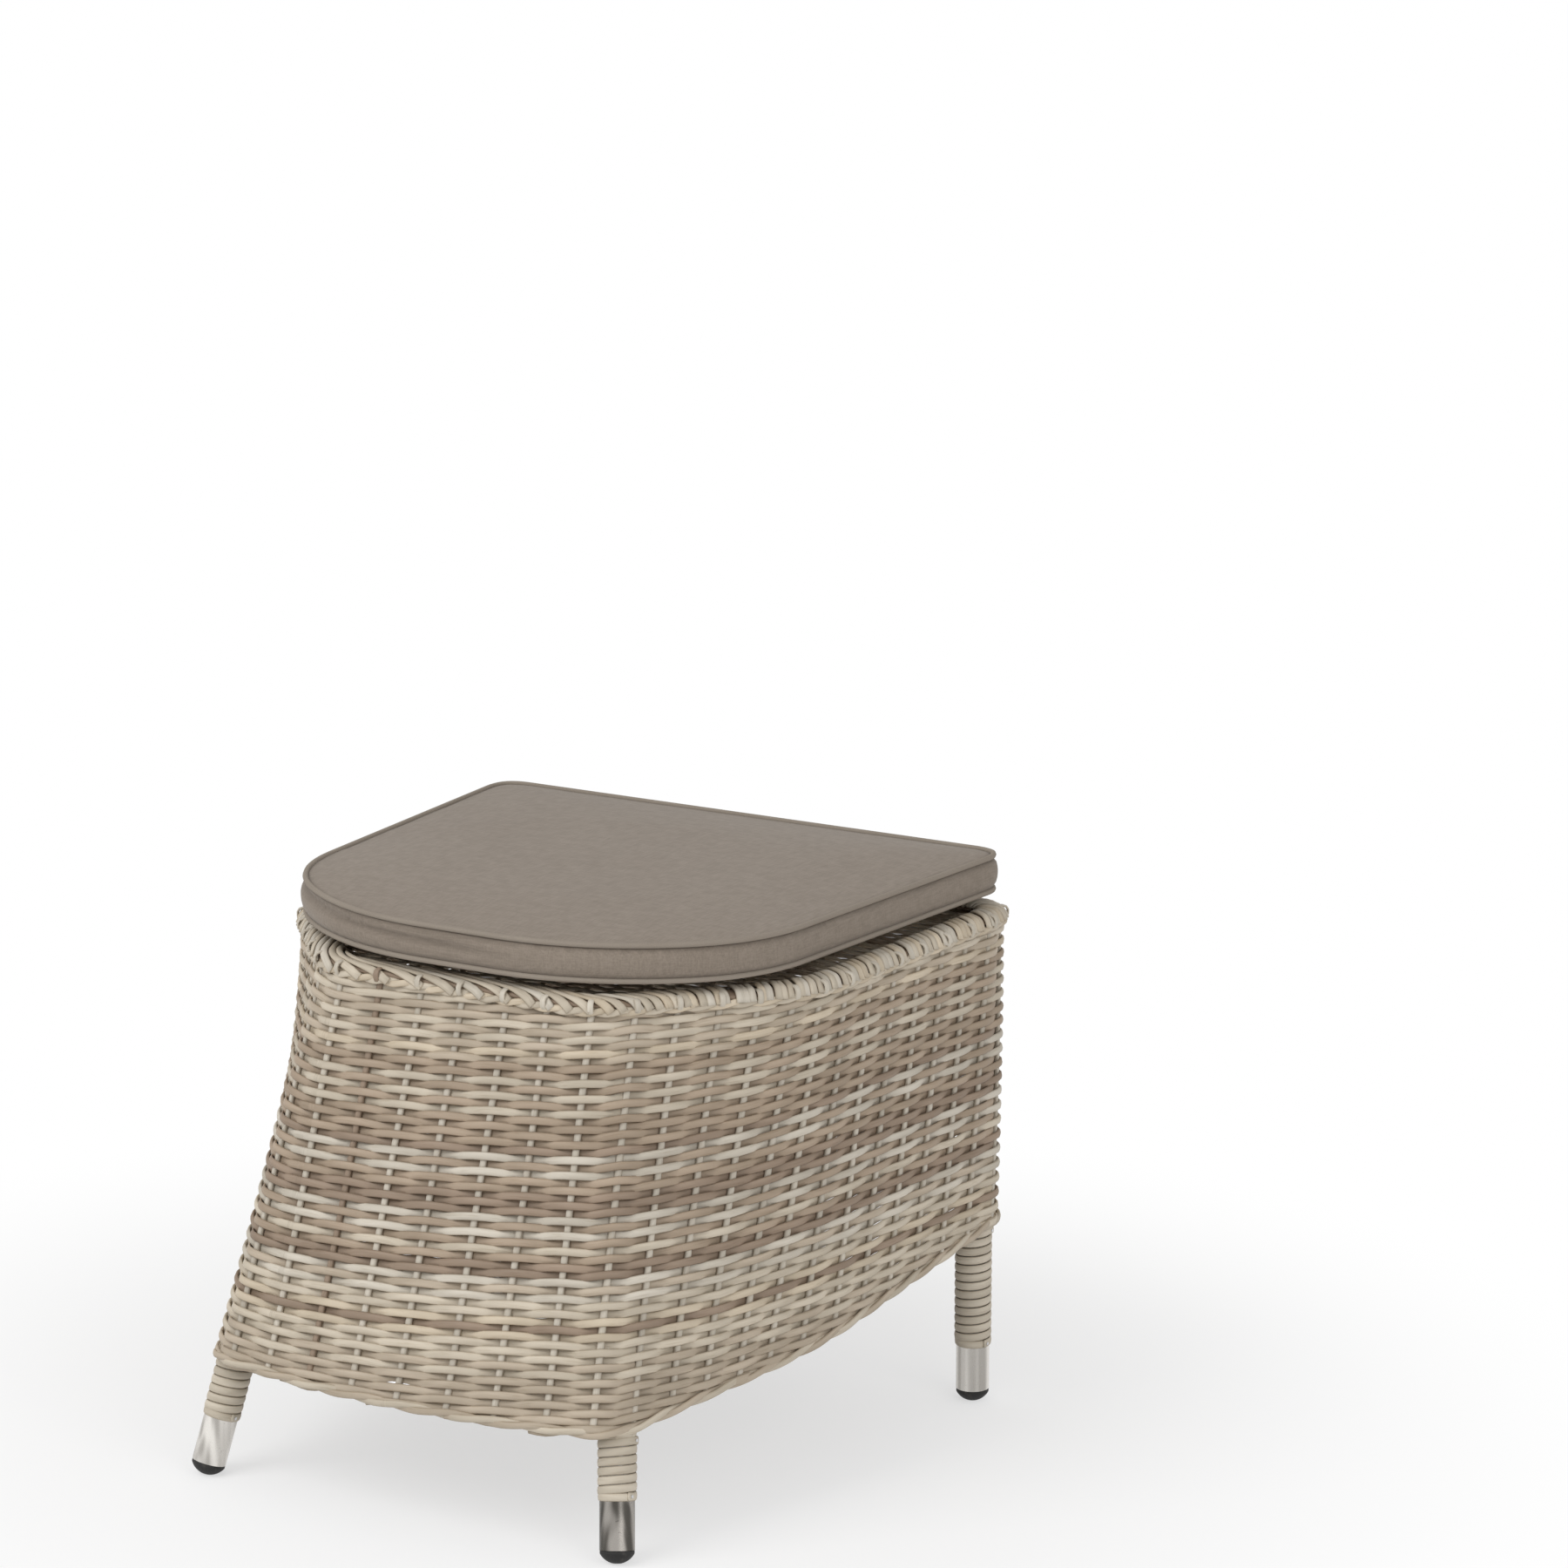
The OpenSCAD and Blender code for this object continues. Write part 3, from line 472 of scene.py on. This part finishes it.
# How many rows the weave falls, by the share of the way round: high on the wall, and low.
fall_ways = [*seen_stakes, 0.222, 0.245, 0.5, 0.7, 0.85, 1 + seen_stakes[0]]
high_falls = [3.5, 3.2, 2.75, 2.1, 1.5, 0.95, 0.3, -0.2, 0, -0.4, -0.65, -1.4, -2.0, -2.35,
              -2.5, -2.45, -1.2, 0.6, 2.6, 3.5]
low_falls = [3.65, 3.2, 2.7, 2.2, 1.55, 1.0, 0.35, -0.2, 0, 0.35, 0.45, 0.1, -0.3, -0.4,
             -0.55, -0.5, -0.3, 0.8, 2.6, 3.65]


def row_height(row, way):
    """The height of a row of the weave, by its number at the right front leg."""
    low = np.clip((row - 20) / 24, 0, 1)
    drift = np.interp(row, [2, 8, 14, 20, 28, 34, 42], [0.4, 0.1, 0.2, 0.4, 0.5, 0.75, 1.1])
    fall = (1 - low) * np.interp(way, fall_ways, high_falls) + low * np.interp(way, fall_ways,
                                                                               low_falls)
    return rim_z - (row - 0.5 + drift + fall) * row_pitch


skirt = Strands(7)
gap_steps = 6
phase = np.arange(0, stake_count, 1 / gap_steps)
ways = np.interp(phase, np.arange(stake_count + 1), stake_ways)
wall_depth = -0.0040
wave_height = 0.0031
lens_w = 0.0064
behind_w = 0.0040
strand_d = 0.0026
stake_strand = (0.0058, 0.0040)
# Where a leg's axis meets the floor, and how far it leans for each metre of height.
legs = {"front": (0.191584, -0.243242, -0.161002, 0.265268), "rear": (0.238132, 0.221896, 0, 0)}
leg_clear = 0.0141
heights = np.linspace(rim_z + 0.006, hem_front_z - 0.006, 64)
frames = np.array([wall_frame(ways, z) for z in heights])


def on_wall(z):
    """Points, ways down and ways out of the wall, at one height for each of the ways."""
    step = (heights[0] - z) / (heights[0] - heights[1])
    above = np.clip(step.astype(int), 0, len(heights) - 2)
    share = (step - above)[:, None]
    here = np.arange(len(ways))
    return [(1 - share) * frames[above, k, here] + share * frames[above + 1, k, here]
            for k in range(3)]


for row, letter in enumerate(row_dyes, first_row):
    z = np.clip(row_height(row, ways), heights[-1], heights[0])
    point, down, out = on_wall(z)
    ahead_of_crest = (phase + row) % 2
    from_crest = np.minimum(ahead_of_crest, 2 - ahead_of_crest)
    wave = np.cos(math.pi * from_crest)
    slip = skirt.chance.normal(0, 0.00018, stake_count + 1)
    slip[-1] = slip[0]
    slip = np.interp(phase, np.arange(stake_count + 1), slip) - 0.0008 * wave
    near_rail = np.clip((z - 0.372) / 0.01, 0, 1)
    near_rod = np.clip((hem_z(point[:, 1]) + 0.020 - z) / 0.008, 0, 1)
    step_in = 1 - 0.5 * np.maximum(near_rail, near_rod) * (wave < 0)
    step_out = wall_depth + wave_height * wave * step_in
    middle = point + out * step_out[:, None] + down * slip[:, None]
    for foot_x, foot_y, lean_x, lean_y in legs.values():
        for side in (-1, 1):
            axis = np.column_stack([side * (foot_x + lean_x * z), foot_y + lean_y * z])
            beside = np.linalg.norm(middle[:, :2] - axis, axis=1)
            middle = middle + out * np.clip(leg_clear - beside, 0, None)[:, None]
    width = lens_w + np.where(wave > 0, 0, behind_w) * wave ** 2
    depth = strand_d + 0.0006 * wave ** 2
    colour = np.array(dyes[letter]) * skirt.chance.uniform(0.96, 1.04)
    inside = (z < rim_z + 0.0015) & (z - 0.5 * row_pitch > hem_z(point[:, 1]) - 0.0036)
    if inside.all():
        skirt.add(middle, out, width, depth, colour, closed=True)
        continue
    order = np.roll(np.arange(len(phase)), -int(np.argmin(inside)))
    for kept in np.split(order, np.flatnonzero(np.diff(inside[order].astype(int))) + 1):
        if inside[kept[0]] and len(kept) > 3:
            tuck = np.minimum(np.arange(len(kept)), np.arange(len(kept))[::-1])
            tuck = np.clip(1 - tuck / 2, 0, 1)[:, None]
            skirt.add(middle[kept] - out[kept] * 0.002 * tuck, out[kept], width[kept],
                      depth[kept], colour)
levels = rim_z + 0.002 - np.arange(0, hem_drop + 0.004, row_pitch / 2)
stands = [wall_frame(stake_ways[:-1], z) for z in levels]
for k in range(stake_count):
    point = np.array([stand[0][k] for stand in stands])
    out = np.array([stand[2][k] for stand in stands])
    kept = levels > hem_z(point[:, 1]) - 0.002
    rows_down = np.arange(first_row, first_row + len(row_dyes))
    row = np.interp(-levels, -row_height(rows_down, stake_ways[k]), rows_down)
    bulge = -0.0003 * np.cos(math.pi * (row + k))
    middle = point + out * (wall_depth + bulge)[:, None]
    colour = brown if k == 1 else np.array(pale) * skirt.chance.uniform(0.88, 1.0)
    skirt.add(middle[kept], out[kept], *stake_strand, colour)
skirt.make("skirt_weave", "stool", "skirt_reed", "woven_skirt")

# The hem is bound by two strands that twist round each other along its edge, under the last
# row, so that the edge looks scalloped.
hem_depth = 0.0022
hem_strand = (0.0058, 0.0034)
hem_twist_r = 0.0016
hem_twist_run = 0.075
hem = Strands(11)
rising = hem_z(hem_line[:, 1])
share = ((rim_z - rising) / hem_drop)[:, None]
hem_path, hem_reach = round_line(rim_line + (hem_line - rim_line) * share)
turns = round(hem_reach[-1] / hem_twist_run)
place = np.linspace(0, hem_reach[-1], turns * 16, endpoint=False)
hem_way = np.stack([np.interp(place, hem_reach, hem_path[:, 0]),
                    np.interp(place, hem_reach, hem_path[:, 1])], 1)
ahead = unit(np.roll(hem_way, -1, 0) - np.roll(hem_way, 1, 0))
outside = np.column_stack([ahead[:, 1], -ahead[:, 0], np.zeros(len(ahead))])
centre = np.column_stack([hem_way, hem_z(hem_way[:, 1]) - 0.0002]) - outside * hem_depth
for strand, colour in ((0, cream), (1, greige)):
    twist = 2 * math.pi * turns * place / hem_reach[-1] + strand * math.pi
    middle = (centre + outside * (hem_twist_r * np.cos(twist))[:, None]
              + up * (hem_twist_r * np.sin(twist))[:, None])
    hem.add(middle, outside, *hem_strand, colour, closed=True)
hem.make("hem_binding", "stool", "wrap_reed", "hem_strand")

# The rim is a braided border laid over the skirt's top, the rails and the deck's edge. Flat
# strands cross it side by side, slanting one way on one side and the other way on the other,
# two strands twist round each other under its outer edge, and the stakes' ends loop up over it.
braid_low_z = 0.4023
braid_h = 0.0098
braid_w = 0.026
braid_out = 0.0025
crossing_pitch = 0.0063
edge_z = 0.4010
edge_twist_r = 0.0014
braid = Strands(19)
braid_line, braid_reach = round_line(rim_line)
braid_ahead = unit(np.roll(rim_line, -1, 0) - np.roll(rim_line, 1, 0))
braid_ahead = np.vstack([braid_ahead, braid_ahead[:1]])


def braid_point(way, across, lift=0):
    """Points over the braid, by the share of the way round and of the way in from outside."""
    place = np.asarray(way) % 1 * braid_reach[-1]
    point = np.stack([np.interp(place, braid_reach, braid_line[:, k]) for k in (0, 1)], -1)
    ahead = unit(np.stack([np.interp(place, braid_reach, braid_ahead[:, k]) for k in (0, 1)], -1))
    inward = np.stack([-ahead[..., 1], ahead[..., 0]], -1)
    across = np.broadcast_to(across, np.shape(place))
    flat = np.abs(2 * across - 1)
    plan = point + inward * (across * braid_w - braid_out)[..., None]
    fall = np.where(across < 0.5, 0.72, 0.45) * flat ** 4
    z = braid_low_z + braid_h * (1 - fall) - lift
    return np.concatenate([plan, z[..., None]], -1)


slant_ways = [-0.5, -0.33, -0.2, -0.13, -0.08, 0, 0.075, 0.125, 0.175, 0.22, 0.33, 0.5]
slants = [90, 125, 132, 145, 167, 168, 155, 105, 72, 62, 62, 90]


def slant(way):
    """The angle between the rim and the strands that cross it."""
    return np.radians(np.interp((np.asarray(way) + 0.5) % 1 - 0.5, slant_ways, slants))


fine = np.linspace(0, 1, 4001)
fine_step = braid_reach[-1] / (len(fine) - 1)
packed = np.concatenate([[0], np.cumsum(np.sin(slant(fine[:-1])) * fine_step / crossing_pitch)])
crossings = math.floor(packed[-1])
crossing = np.interp(np.arange(0, crossings) * packed[-1] / crossings, packed, fine)
shares = np.linspace(-0.02, 0.97, 14)
for start in crossing:
    way = [start]
    for step in np.diff(shares):
        way.append(way[-1] + step * braid_w / math.tan(slant(way[-1])) / braid_reach[-1])
    way = np.array(way) + braid.chance.normal(0, 0.0006)
    lift = 0.0016 + braid.chance.uniform(0, 0.0006)
    middle = braid_point(way, shares, lift)
    aside = braid_point(way + 0.001, shares, lift) - braid_point(way - 0.001, shares, lift)
    inward = braid_point(way, shares + 0.01, lift) - braid_point(way, shares - 0.01, lift)
    swell = np.linspace(1, 0, len(shares)) ** 1.5
    colour = np.array((cream, pale, cream, straw, cream, pale)[braid.chance.integers(6)])
    braid.add(middle, np.cross(aside, inward), 0.0050 + 0.0022 * swell, 0.0028 - 0.0006 * swell,
              colour * braid.chance.uniform(0.92, 1.03))
round_ways = np.linspace(0, 1, stake_count * 12, endpoint=False)
rim_way = braid_point(round_ways, 0.0)
inner_way = braid_point(round_ways, 1.0)
outward = unit((rim_way - inner_way) * np.array([1, 1, 0]))
for strand, colour in ((0, cream), (1, straw)):
    twist = 2 * math.pi * stake_count * round_ways + strand * math.pi
    middle = rim_way - outward * (0.0022 - edge_twist_r * np.cos(twist))[:, None]
    middle[:, 2] = edge_z + edge_twist_r * np.sin(twist)
    braid.add(middle, outward + up * 0.15, 0.0052, 0.0026, colour, closed=True)
# The braid's core: brown reed rings under the crossing strands, dark as painted shade in the gaps.
for height, depth_in, width in ((0.4050, 0.5, 0.022), (0.4056, 0.5, 0.016)):
    core = braid_point(round_ways, depth_in)
    core[:, 2] = height
    braid.add(core, up, width, 0.006, brown, closed=True)
loop_out = np.array([-0.0005, 0.0022, 0.0036, 0.0036, 0.0022, -0.001, -0.006])
loop_z = np.array([0.3985, 0.4005, 0.4030, 0.4062, 0.4085, 0.4096, 0.4090])
for k in range(stake_count):
    way = np.full(len(loop_z), stake_ways[k])
    foot = braid_point(way, braid_out / braid_w)
    side = unit((braid_point(way, 0.0) - braid_point(way, 0.5)) * np.array([1, 1, 0]))
    middle = foot + side * loop_out[:, None]
    middle[:, 2] = loop_z
    facing = np.cross(np.gradient(middle, axis=0), np.cross(up, side))
    facing = facing * np.sign(np.sum(facing * (side + up), -1, keepdims=True))
    colour = brown if k == 1 else pale
    braid.add(middle, facing, 0.0050, 0.0020, colour)
braid.make("rim_strands", "stool", "braid_reed", "rim_braid")

# Each leg's end is wound with one flat strand from the sleeve up to the hem, turn on turn. Its
# first turn and its last ones lie level, and a small steel pin holds the strand at each end.
sleeve_top_z = 0.0473
winding_r = 0.0131
strand_w = 0.0064
strand_t = 0.0019
turn_steps = 40
wound = dye(205, 196, 180)


def leaned(vectors, axis):
    """Turns vectors from upright to along a leg."""
    swing = np.cross(up, axis)
    sine = np.linalg.norm(swing)
    cosine = axis[2]
    if sine > 0:
        swing = swing / sine
    return (vectors * cosine + np.cross(swing, vectors) * sine
            + swing * (vectors @ swing)[:, None] * (1 - cosine))


for side, side_name in ((-1, "left"), (1, "right")):
    for end_name, count, pitch in (("front", 6, 0.006981), ("rear", 13, 0.007254)):
        foot_x, foot_y, lean_x, lean_y = legs[end_name]
        foot = np.array([side * foot_x, foot_y, 0])
        axis = unit(np.array([side * lean_x, lean_y, 1.0]))
        turn = np.linspace(0, 2 * math.pi * count, turn_steps * count + 1)
        low = sleeve_top_z + strand_w / 2
        rise = low + pitch * turn / (2 * math.pi)
        radius = winding_r + strand_t / 2
        around = np.column_stack([radius * np.cos(turn), radius * np.sin(turn), rise])
        facing = np.column_stack([np.cos(turn), np.sin(turn), np.zeros(len(turn))])
        tail = np.linspace(-strand_w, -0.001, 4)
        start = np.column_stack([np.full(4, radius), tail, np.full(4, low)])
        stop = np.column_stack([np.full(4, radius), -tail[::-1], np.full(4, rise[-1])])
        level = np.tile([1.0, 0, 0], (4, 1))
        middle = leaned(np.vstack([start, around, stop]), axis) + foot
        winding = Strands(30 + count + side)
        winding.add(middle, leaned(np.vstack([level, facing, level]), axis), strand_w + 0.0003,
                    strand_t + 0.0003, wound)
        once = np.linspace(0, 2 * math.pi, turn_steps, endpoint=False)
        round_leg = np.column_stack([np.cos(once), np.sin(once), np.zeros(turn_steps)])
        for height in (low - 0.0003, rise[-1], rise[-1] + 0.8 * strand_w):
            ring = round_leg * (radius - 0.0003) + np.array([0, 0, height])
            winding.add(leaned(ring, axis) + foot, leaned(round_leg, axis), strand_w, strand_t,
                        wound, closed=True)
        winding.make(f"wound_strand_{end_name}_{side_name}", "stool", "wrap_reed",
                     f"winding_{end_name}_{side_name}")
pin_steel, pin_shader, shade = finish("pin_steel")
pin_place = shade.place()
pin_wear = pin_place.noise(900, 3)
shade.fill(pin_shader, {"Base Color": pin_wear.blend(dye(196, 196, 198), dye(224, 224, 226)),
                        "Metallic": 1, "Roughness": 0.18 + 0.25 * pin_wear})
coat_node("strand_pins", pin_steel)

# The cushion is a box of outdoor cloth filled with foam: a crowned top, a border that swells
# between its two rows of piping, and a flat underside. Cloth under pressure gives its form,
# with both seams held, and the seams are drawn in afterwards. Shade in the seams and the
# crease is painted darker into the cloth.
cushion_corners = [(0.107, -0.1666), (0.2175, -0.0791), (0.242, 0.2639),
                   (-0.242, 0.2639), (-0.2175, -0.0791), (-0.107, -0.1666)]
cushion_cuts = (0.076, 0.063, 0.0275, 0.0275, 0.063, 0.076)
top_seam_z = 0.450
low_seam_z = 0.422
under_z = 0.4124
border_mid_z = (top_seam_z + low_seam_z) / 2
crown_z = 0.456
pipe_r = 0.0023
cloth, cloth_shader, shade = finish("cover_cloth")
cloth_place = shade.place()
threads = (cloth_place.scaled((1500, 90, 90)).noise(1, 2)
           + cloth_place.scaled((90, 1500, 90)).noise(1, 2)
           + cloth_place.scaled((90, 90, 1500)).noise(1, 2)) * 0.3333
slubs = (cloth_place.scaled((60, 700, 700)).noise(1, 3) * 0.5
         + cloth_place.scaled((700, 60, 700)).noise(1, 3) * 0.5)
fade = cloth_place.noise(9, 3)
woven = (threads.between(0.38, 0.62) * 0.6 + slubs.between(0.4, 0.6) * 0.4).blend(
    fade.blend(dye(126, 115, 103), dye(132, 121, 109)),
    fade.blend(dye(143, 131, 119), dye(148, 137, 125)))
# The cloth turns darker where this value is high: painted shade in the seams and the crease.
painted_seam_and_crease_shade = shade.node("Attribute", {"attribute_name": "painted_seam_and_crease_shade"}, {}, out="Fac")
shade.fill(cloth_shader, {
    "Base Color": (painted_seam_and_crease_shade * 0.75).blend(woven, dye(72, 64, 56)),
    "Roughness": 0.86 + 0.1 * threads, "Specular IOR Level": 0.2,
    "Sheen Weight": 0.15, "Sheen Roughness": 0.5,
    "Normal": threads.raised(0.45, 0.0004)})


def cushion_line(off):
    """The cushion's outline, moved outward by off."""
    corners = np.array(cushion_corners)
    front = (corners[-1] + corners[0]) / 2
    return outline([front, *corners], (0.001, *cushion_cuts), off)


def near_line(points, line):
    """How far points lie outside a closed line in plan, and the way out of it there."""
    loop = np.vstack([line, line[:1]])
    best = np.full(len(points), 9.0)
    foot = np.zeros((len(points), 2))
    for start, stop in zip(loop[:-1], loop[1:]):
        edge = stop - start
        if edge @ edge < 1e-12:
            continue
        share = np.clip((points - start) @ edge / (edge @ edge), 0, 1)
        spot = start + share[:, None] * edge
        far = np.linalg.norm(points - spot, axis=1)
        closer = far < best
        best[closer] = far[closer]
        foot[closer] = spot[closer]
    middle = np.array([0, 0.05])
    outer = np.linalg.norm(points - middle, axis=1) > np.linalg.norm(foot - middle, axis=1)
    return np.where(outer, best, -best), unit(foot - middle)


middle_spot = np.array([0, 0.057])
rings = []
for share, z in ((0.62, crown_z - 0.0005), (0.4, crown_z - 0.001),
                 (0.2, crown_z - 0.0025), (0.06, crown_z - 0.0042)):
    line = cushion_line(-0.003)
    rings.append(np.column_stack([line + (middle_spot - line) * share, np.full(len(line), z)]))
for off, z in ((0.0006, top_seam_z), (0.0022, border_mid_z),
               (0.0006, low_seam_z), (-0.009, under_z + 0.0045), (-0.022, under_z + 0.0006)):
    line = cushion_line(off)
    rings.append(np.column_stack([line, np.full(len(line), z)]))
loop_size = len(rings[0])
points = np.concatenate([*rings, [[*middle_spot, crown_z]], [[*middle_spot, under_z + 0.0006]]])
faces = []
for ring in range(len(rings) - 1):
    for k in range(loop_size):
        beside = (k + 1) % loop_size
        low = (ring + 1) * loop_size
        faces.append((ring * loop_size + k, low + k, low + beside, ring * loop_size + beside))
for k in range(loop_size):
    beside = (k + 1) % loop_size
    faces.append((k, beside, len(points) - 2))
    faces.append(((len(rings) - 1) * loop_size + beside, (len(rings) - 1) * loop_size + k,
                  len(points) - 1))
cushion_mesh = bpy.data.meshes.new("cushion")
cushion_mesh.from_pydata(points.tolist(), [], faces)
cushion = bpy.data.objects.new("cushion", cushion_mesh)
bpy.context.scene.collection.objects.link(cushion)


def settle(piece):
    """Makes what the piece's modifiers show its own mesh, and drops them."""
    shown = piece.evaluated_get(bpy.context.evaluated_depsgraph_get())
    made = bpy.data.meshes.new_from_object(shown)
    piece.modifiers.clear()
    old = piece.data
    piece.data = made
    bpy.data.meshes.remove(old)


def places(piece):
    """A piece's points as rows of an array."""
    spots = np.empty(len(piece.data.vertices) * 3)
    piece.data.vertices.foreach_get("co", spots)
    return spots.reshape(-1, 3)


remesh = cushion.modifiers.new("remesh", "REMESH")
remesh.mode = "VOXEL"
remesh.voxel_size = 0.0055
settle(cushion)
rest = places(cushion)
outer_line = cushion_line(0)
out_by, out_way = near_line(rest[:, :2], outer_line)
seam_far = np.minimum(np.abs(rest[:, 2] - top_seam_z), np.abs(rest[:, 2] - low_seam_z))
held = (seam_far < 0.0035) & (out_by > -0.006)
seams = cushion.vertex_groups.new(name="seams")
seams.add(np.flatnonzero(held).tolist(), 1.0, "REPLACE")
sewn = cushion.modifiers.new("sewn", "CLOTH")
sewn.settings.use_pressure = True
sewn.settings.uniform_pressure_force = 4
sewn.settings.vertex_group_mass = "seams"
sewn.settings.effector_weights.gravity = 0
sewn.settings.quality = 5
for moment in range(1, 21):
    bpy.context.scene.frame_set(moment)
settle(cushion)
bpy.context.scene.frame_set(1)
swollen = places(cushion)
moved = swollen - rest
far = np.linalg.norm(moved, axis=1, keepdims=True)
cap = np.where(rest[:, 2:] > top_seam_z + 0.001, 0.003, 0.005)
moved = moved * np.minimum(1, cap / np.maximum(far, 1e-9))
cushion.data.vertices.foreach_set("co", (rest + moved).ravel())
smooth = cushion.modifiers.new("smooth", "SUBSURF")
smooth.levels = 1
smooth.render_levels = 1
settle(cushion)
spots = places(cushion)
out_by, out_way = near_line(spots[:, :2], outer_line)
border = np.clip(1 - ((spots[:, 2] - border_mid_z) / 0.013) ** 2, 0, 1) * (out_by > -0.008)
spots[:, :2] += out_way * (0.0014 * border)[:, None]
# The cloth is painted darker close to each seam, as painted shade in the seam's groove.
painted_seam_shade = np.zeros(len(spots))
for seam_z in (top_seam_z, low_seam_z):
    aside = -0.0010 - out_by
    above = seam_z - spots[:, 2]
    pull = np.clip(1 - np.hypot(aside, above) / 0.010, 0, 1) ** 1.2 * 0.75
    spots[:, :2] += out_way * (aside * pull)[:, None]
    spots[:, 2] += above * pull
    out_by = out_by + aside * pull
    groove = np.hypot(out_by + 0.001, (np.abs(spots[:, 2] - seam_z) - 0.0032))
    spots[:, :2] -= out_way * (np.clip(1 - groove / 0.0035, 0, 1) * 0.0016)[:, None]
    seam_near = np.hypot(out_by + 0.001, spots[:, 2] - seam_z)
    painted_seam_shade = np.maximum(painted_seam_shade, np.clip(1.5 - seam_near / 0.0032, 0, 1))
along = np.clip((spots[:, 0] + 0.235) / 0.3, 0, 1)
crease_z = 0.4460 - 0.0100 * along ** 0.8
faint = np.clip(along / 0.12, 0, 1) * np.clip((1 - along) / 0.25, 0, 1) * (spots[:, 1] < 0)
crease_far = (spots[:, 2] - crease_z) / 0.0030
fold = np.exp(-crease_far ** 2) - 0.45 * np.exp(-(crease_far - 1.9) ** 2)
fold = fold * faint * (out_by > -0.006)
spots[:, :2] -= out_way * (0.0032 * fold)[:, None]
cushion.data.vertices.foreach_set("co", spots.ravel())
# The crease gets half as much painted shade as the seams.
seam_shade = cushion.data.attributes.new("painted_seam_and_crease_shade", "FLOAT", "POINT")
seam_shade.data.foreach_set("value", np.maximum(painted_seam_shade, 0.5 * fold))
cushion.data.shade_smooth()
cushion.data.materials.clear()
cushion.data.materials.append(cloth)
cushion.name = "cushion_cover_sewn"
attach(cushion, "cushion")
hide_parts("cushion_cover", "cushion_foam")

# Both seams are closed by piping: a thin cord in a strip of the cover's cloth, sewn in between
# the panel and the border all the way round.
piping_cloth, piping_shader, shade = finish("piping_cloth")
lay = shade.node("Attribute", {"attribute_name": "lay"}, {}, out="Vector")
twill = lay.scaled((1100, 3.4, 1)).noise(1, 2)
piping_fade = lay.scaled((20, 0.4, 1)).noise(1, 2)
shade.fill(piping_shader, {
    "Base Color": (twill * 0.6 + piping_fade * 0.4).blend(dye(132, 122, 111), dye(160, 150, 138)),
    "Roughness": 0.85 + 0.1 * twill, "Specular IOR Level": 0.2,
    "Normal": twill.raised(0.5, 0.0004)})
for seam_name, seam_z, node_name in (("top", top_seam_z, "piping_top"),
                                     ("bottom", low_seam_z, "piping_bottom")):
    cord = Strands(41)
    line = cushion_line(0)
    ahead = unit(np.roll(line, -1, 0) - np.roll(line, 1, 0))
    outside = np.column_stack([ahead[:, 1], -ahead[:, 0], np.zeros(len(line))])
    middle = np.column_stack([line, np.full(len(line), seam_z)]) - outside * 0.0009
    cord.add(middle, outside, 2 * pipe_r, 2 * pipe_r, cream, closed=True)
    piping = cord.make(f"piping_cord_{seam_name}", "cushion", "piping_fabric", node_name)
    piping.data.materials[0] = piping_cloth

# A zip closes the cover in the middle of the back border: two cloth tapes, a coil of plastic
# teeth, and a metal slider whose pull hangs down.
zip_low, zip_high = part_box("cushion_zip")
zip_face = zip_low[1]
zip_mid_z = (zip_low[2] + zip_high[2]) / 2
backward = np.array([0, 1.0, 0])
zip_cloth, zip_shader, shade = finish("zip_tape")
zip_place = shade.place()
ribs = zip_place.scaled((2200, 1, 500)).noise(1, 2)
shade.fill(zip_shader, {
    "Base Color": ribs.blend(dye(120, 111, 101), dye(146, 137, 126)),
    "Roughness": 0.8 + 0.1 * ribs, "Normal": ribs.raised(0.4, 0.0003)})
zip_parts = Strands(53)
tape_x = np.linspace(zip_low[0], zip_high[0], 60)
for side in (-1, 1):
    tape = np.column_stack([tape_x, np.full(60, zip_face + 0.0003),
                            np.full(60, zip_mid_z + side * 0.0020)])
    zip_parts.add(tape, backward, 0.0034, 0.0006, brown)
for tooth_x in np.arange(zip_low[0] + 0.004, zip_high[0] - 0.004, 0.0016):
    tooth = np.array([[tooth_x, zip_face + 0.0006, zip_mid_z - 0.0011],
                      [tooth_x + 0.0004, zip_face + 0.0012, zip_mid_z],
                      [tooth_x + 0.0008, zip_face + 0.0006, zip_mid_z + 0.0011]])
    zip_parts.add(tooth, backward, 0.0008, 0.0006, tan)
zip_piece = zip_parts.make("zip_with_teeth", "cushion", "zip_plastic", "cushion_zip")
zip_piece.data.materials[0] = zip_cloth
slider_x = zip_high[0] - 0.0105
slider = Strands(59)
slider.add([[slider_x + run, zip_face + 0.0016, zip_mid_z] for run in
            (-0.0040, -0.0036, -0.0020, 0.0010, 0.0034, 0.0040)], backward,
           np.array([0.0018, 0.0032, 0.0042, 0.0050, 0.0056, 0.0040]), 0.0013, pale)
bridge_turn = np.linspace(0, math.pi, 9)
bridge = np.column_stack([slider_x - 0.0026 * np.cos(bridge_turn),
                          zip_face + 0.0020 + 0.0018 * np.sin(bridge_turn), np.full(9, zip_mid_z)])
slider.add(bridge, up, 0.0007, 0.0014, pale)
pull_drop = np.array([0.0010, 0.0, -0.0030, -0.0080, -0.0110, -0.0118])
pull_w = np.array([0.0012, 0.0020, 0.0024, 0.0032, 0.0032, 0.0018])
pull = np.column_stack([np.full(6, slider_x), zip_face + 0.0031 - 0.0006 * np.linspace(0, 1, 6),
                        zip_mid_z + pull_drop])
slider.add(pull, backward, pull_w, 0.0007, pale)
slider_piece = slider.make("zip_slider", "cushion", "zip_plastic")
slider_piece.data.materials[0] = pin_steel
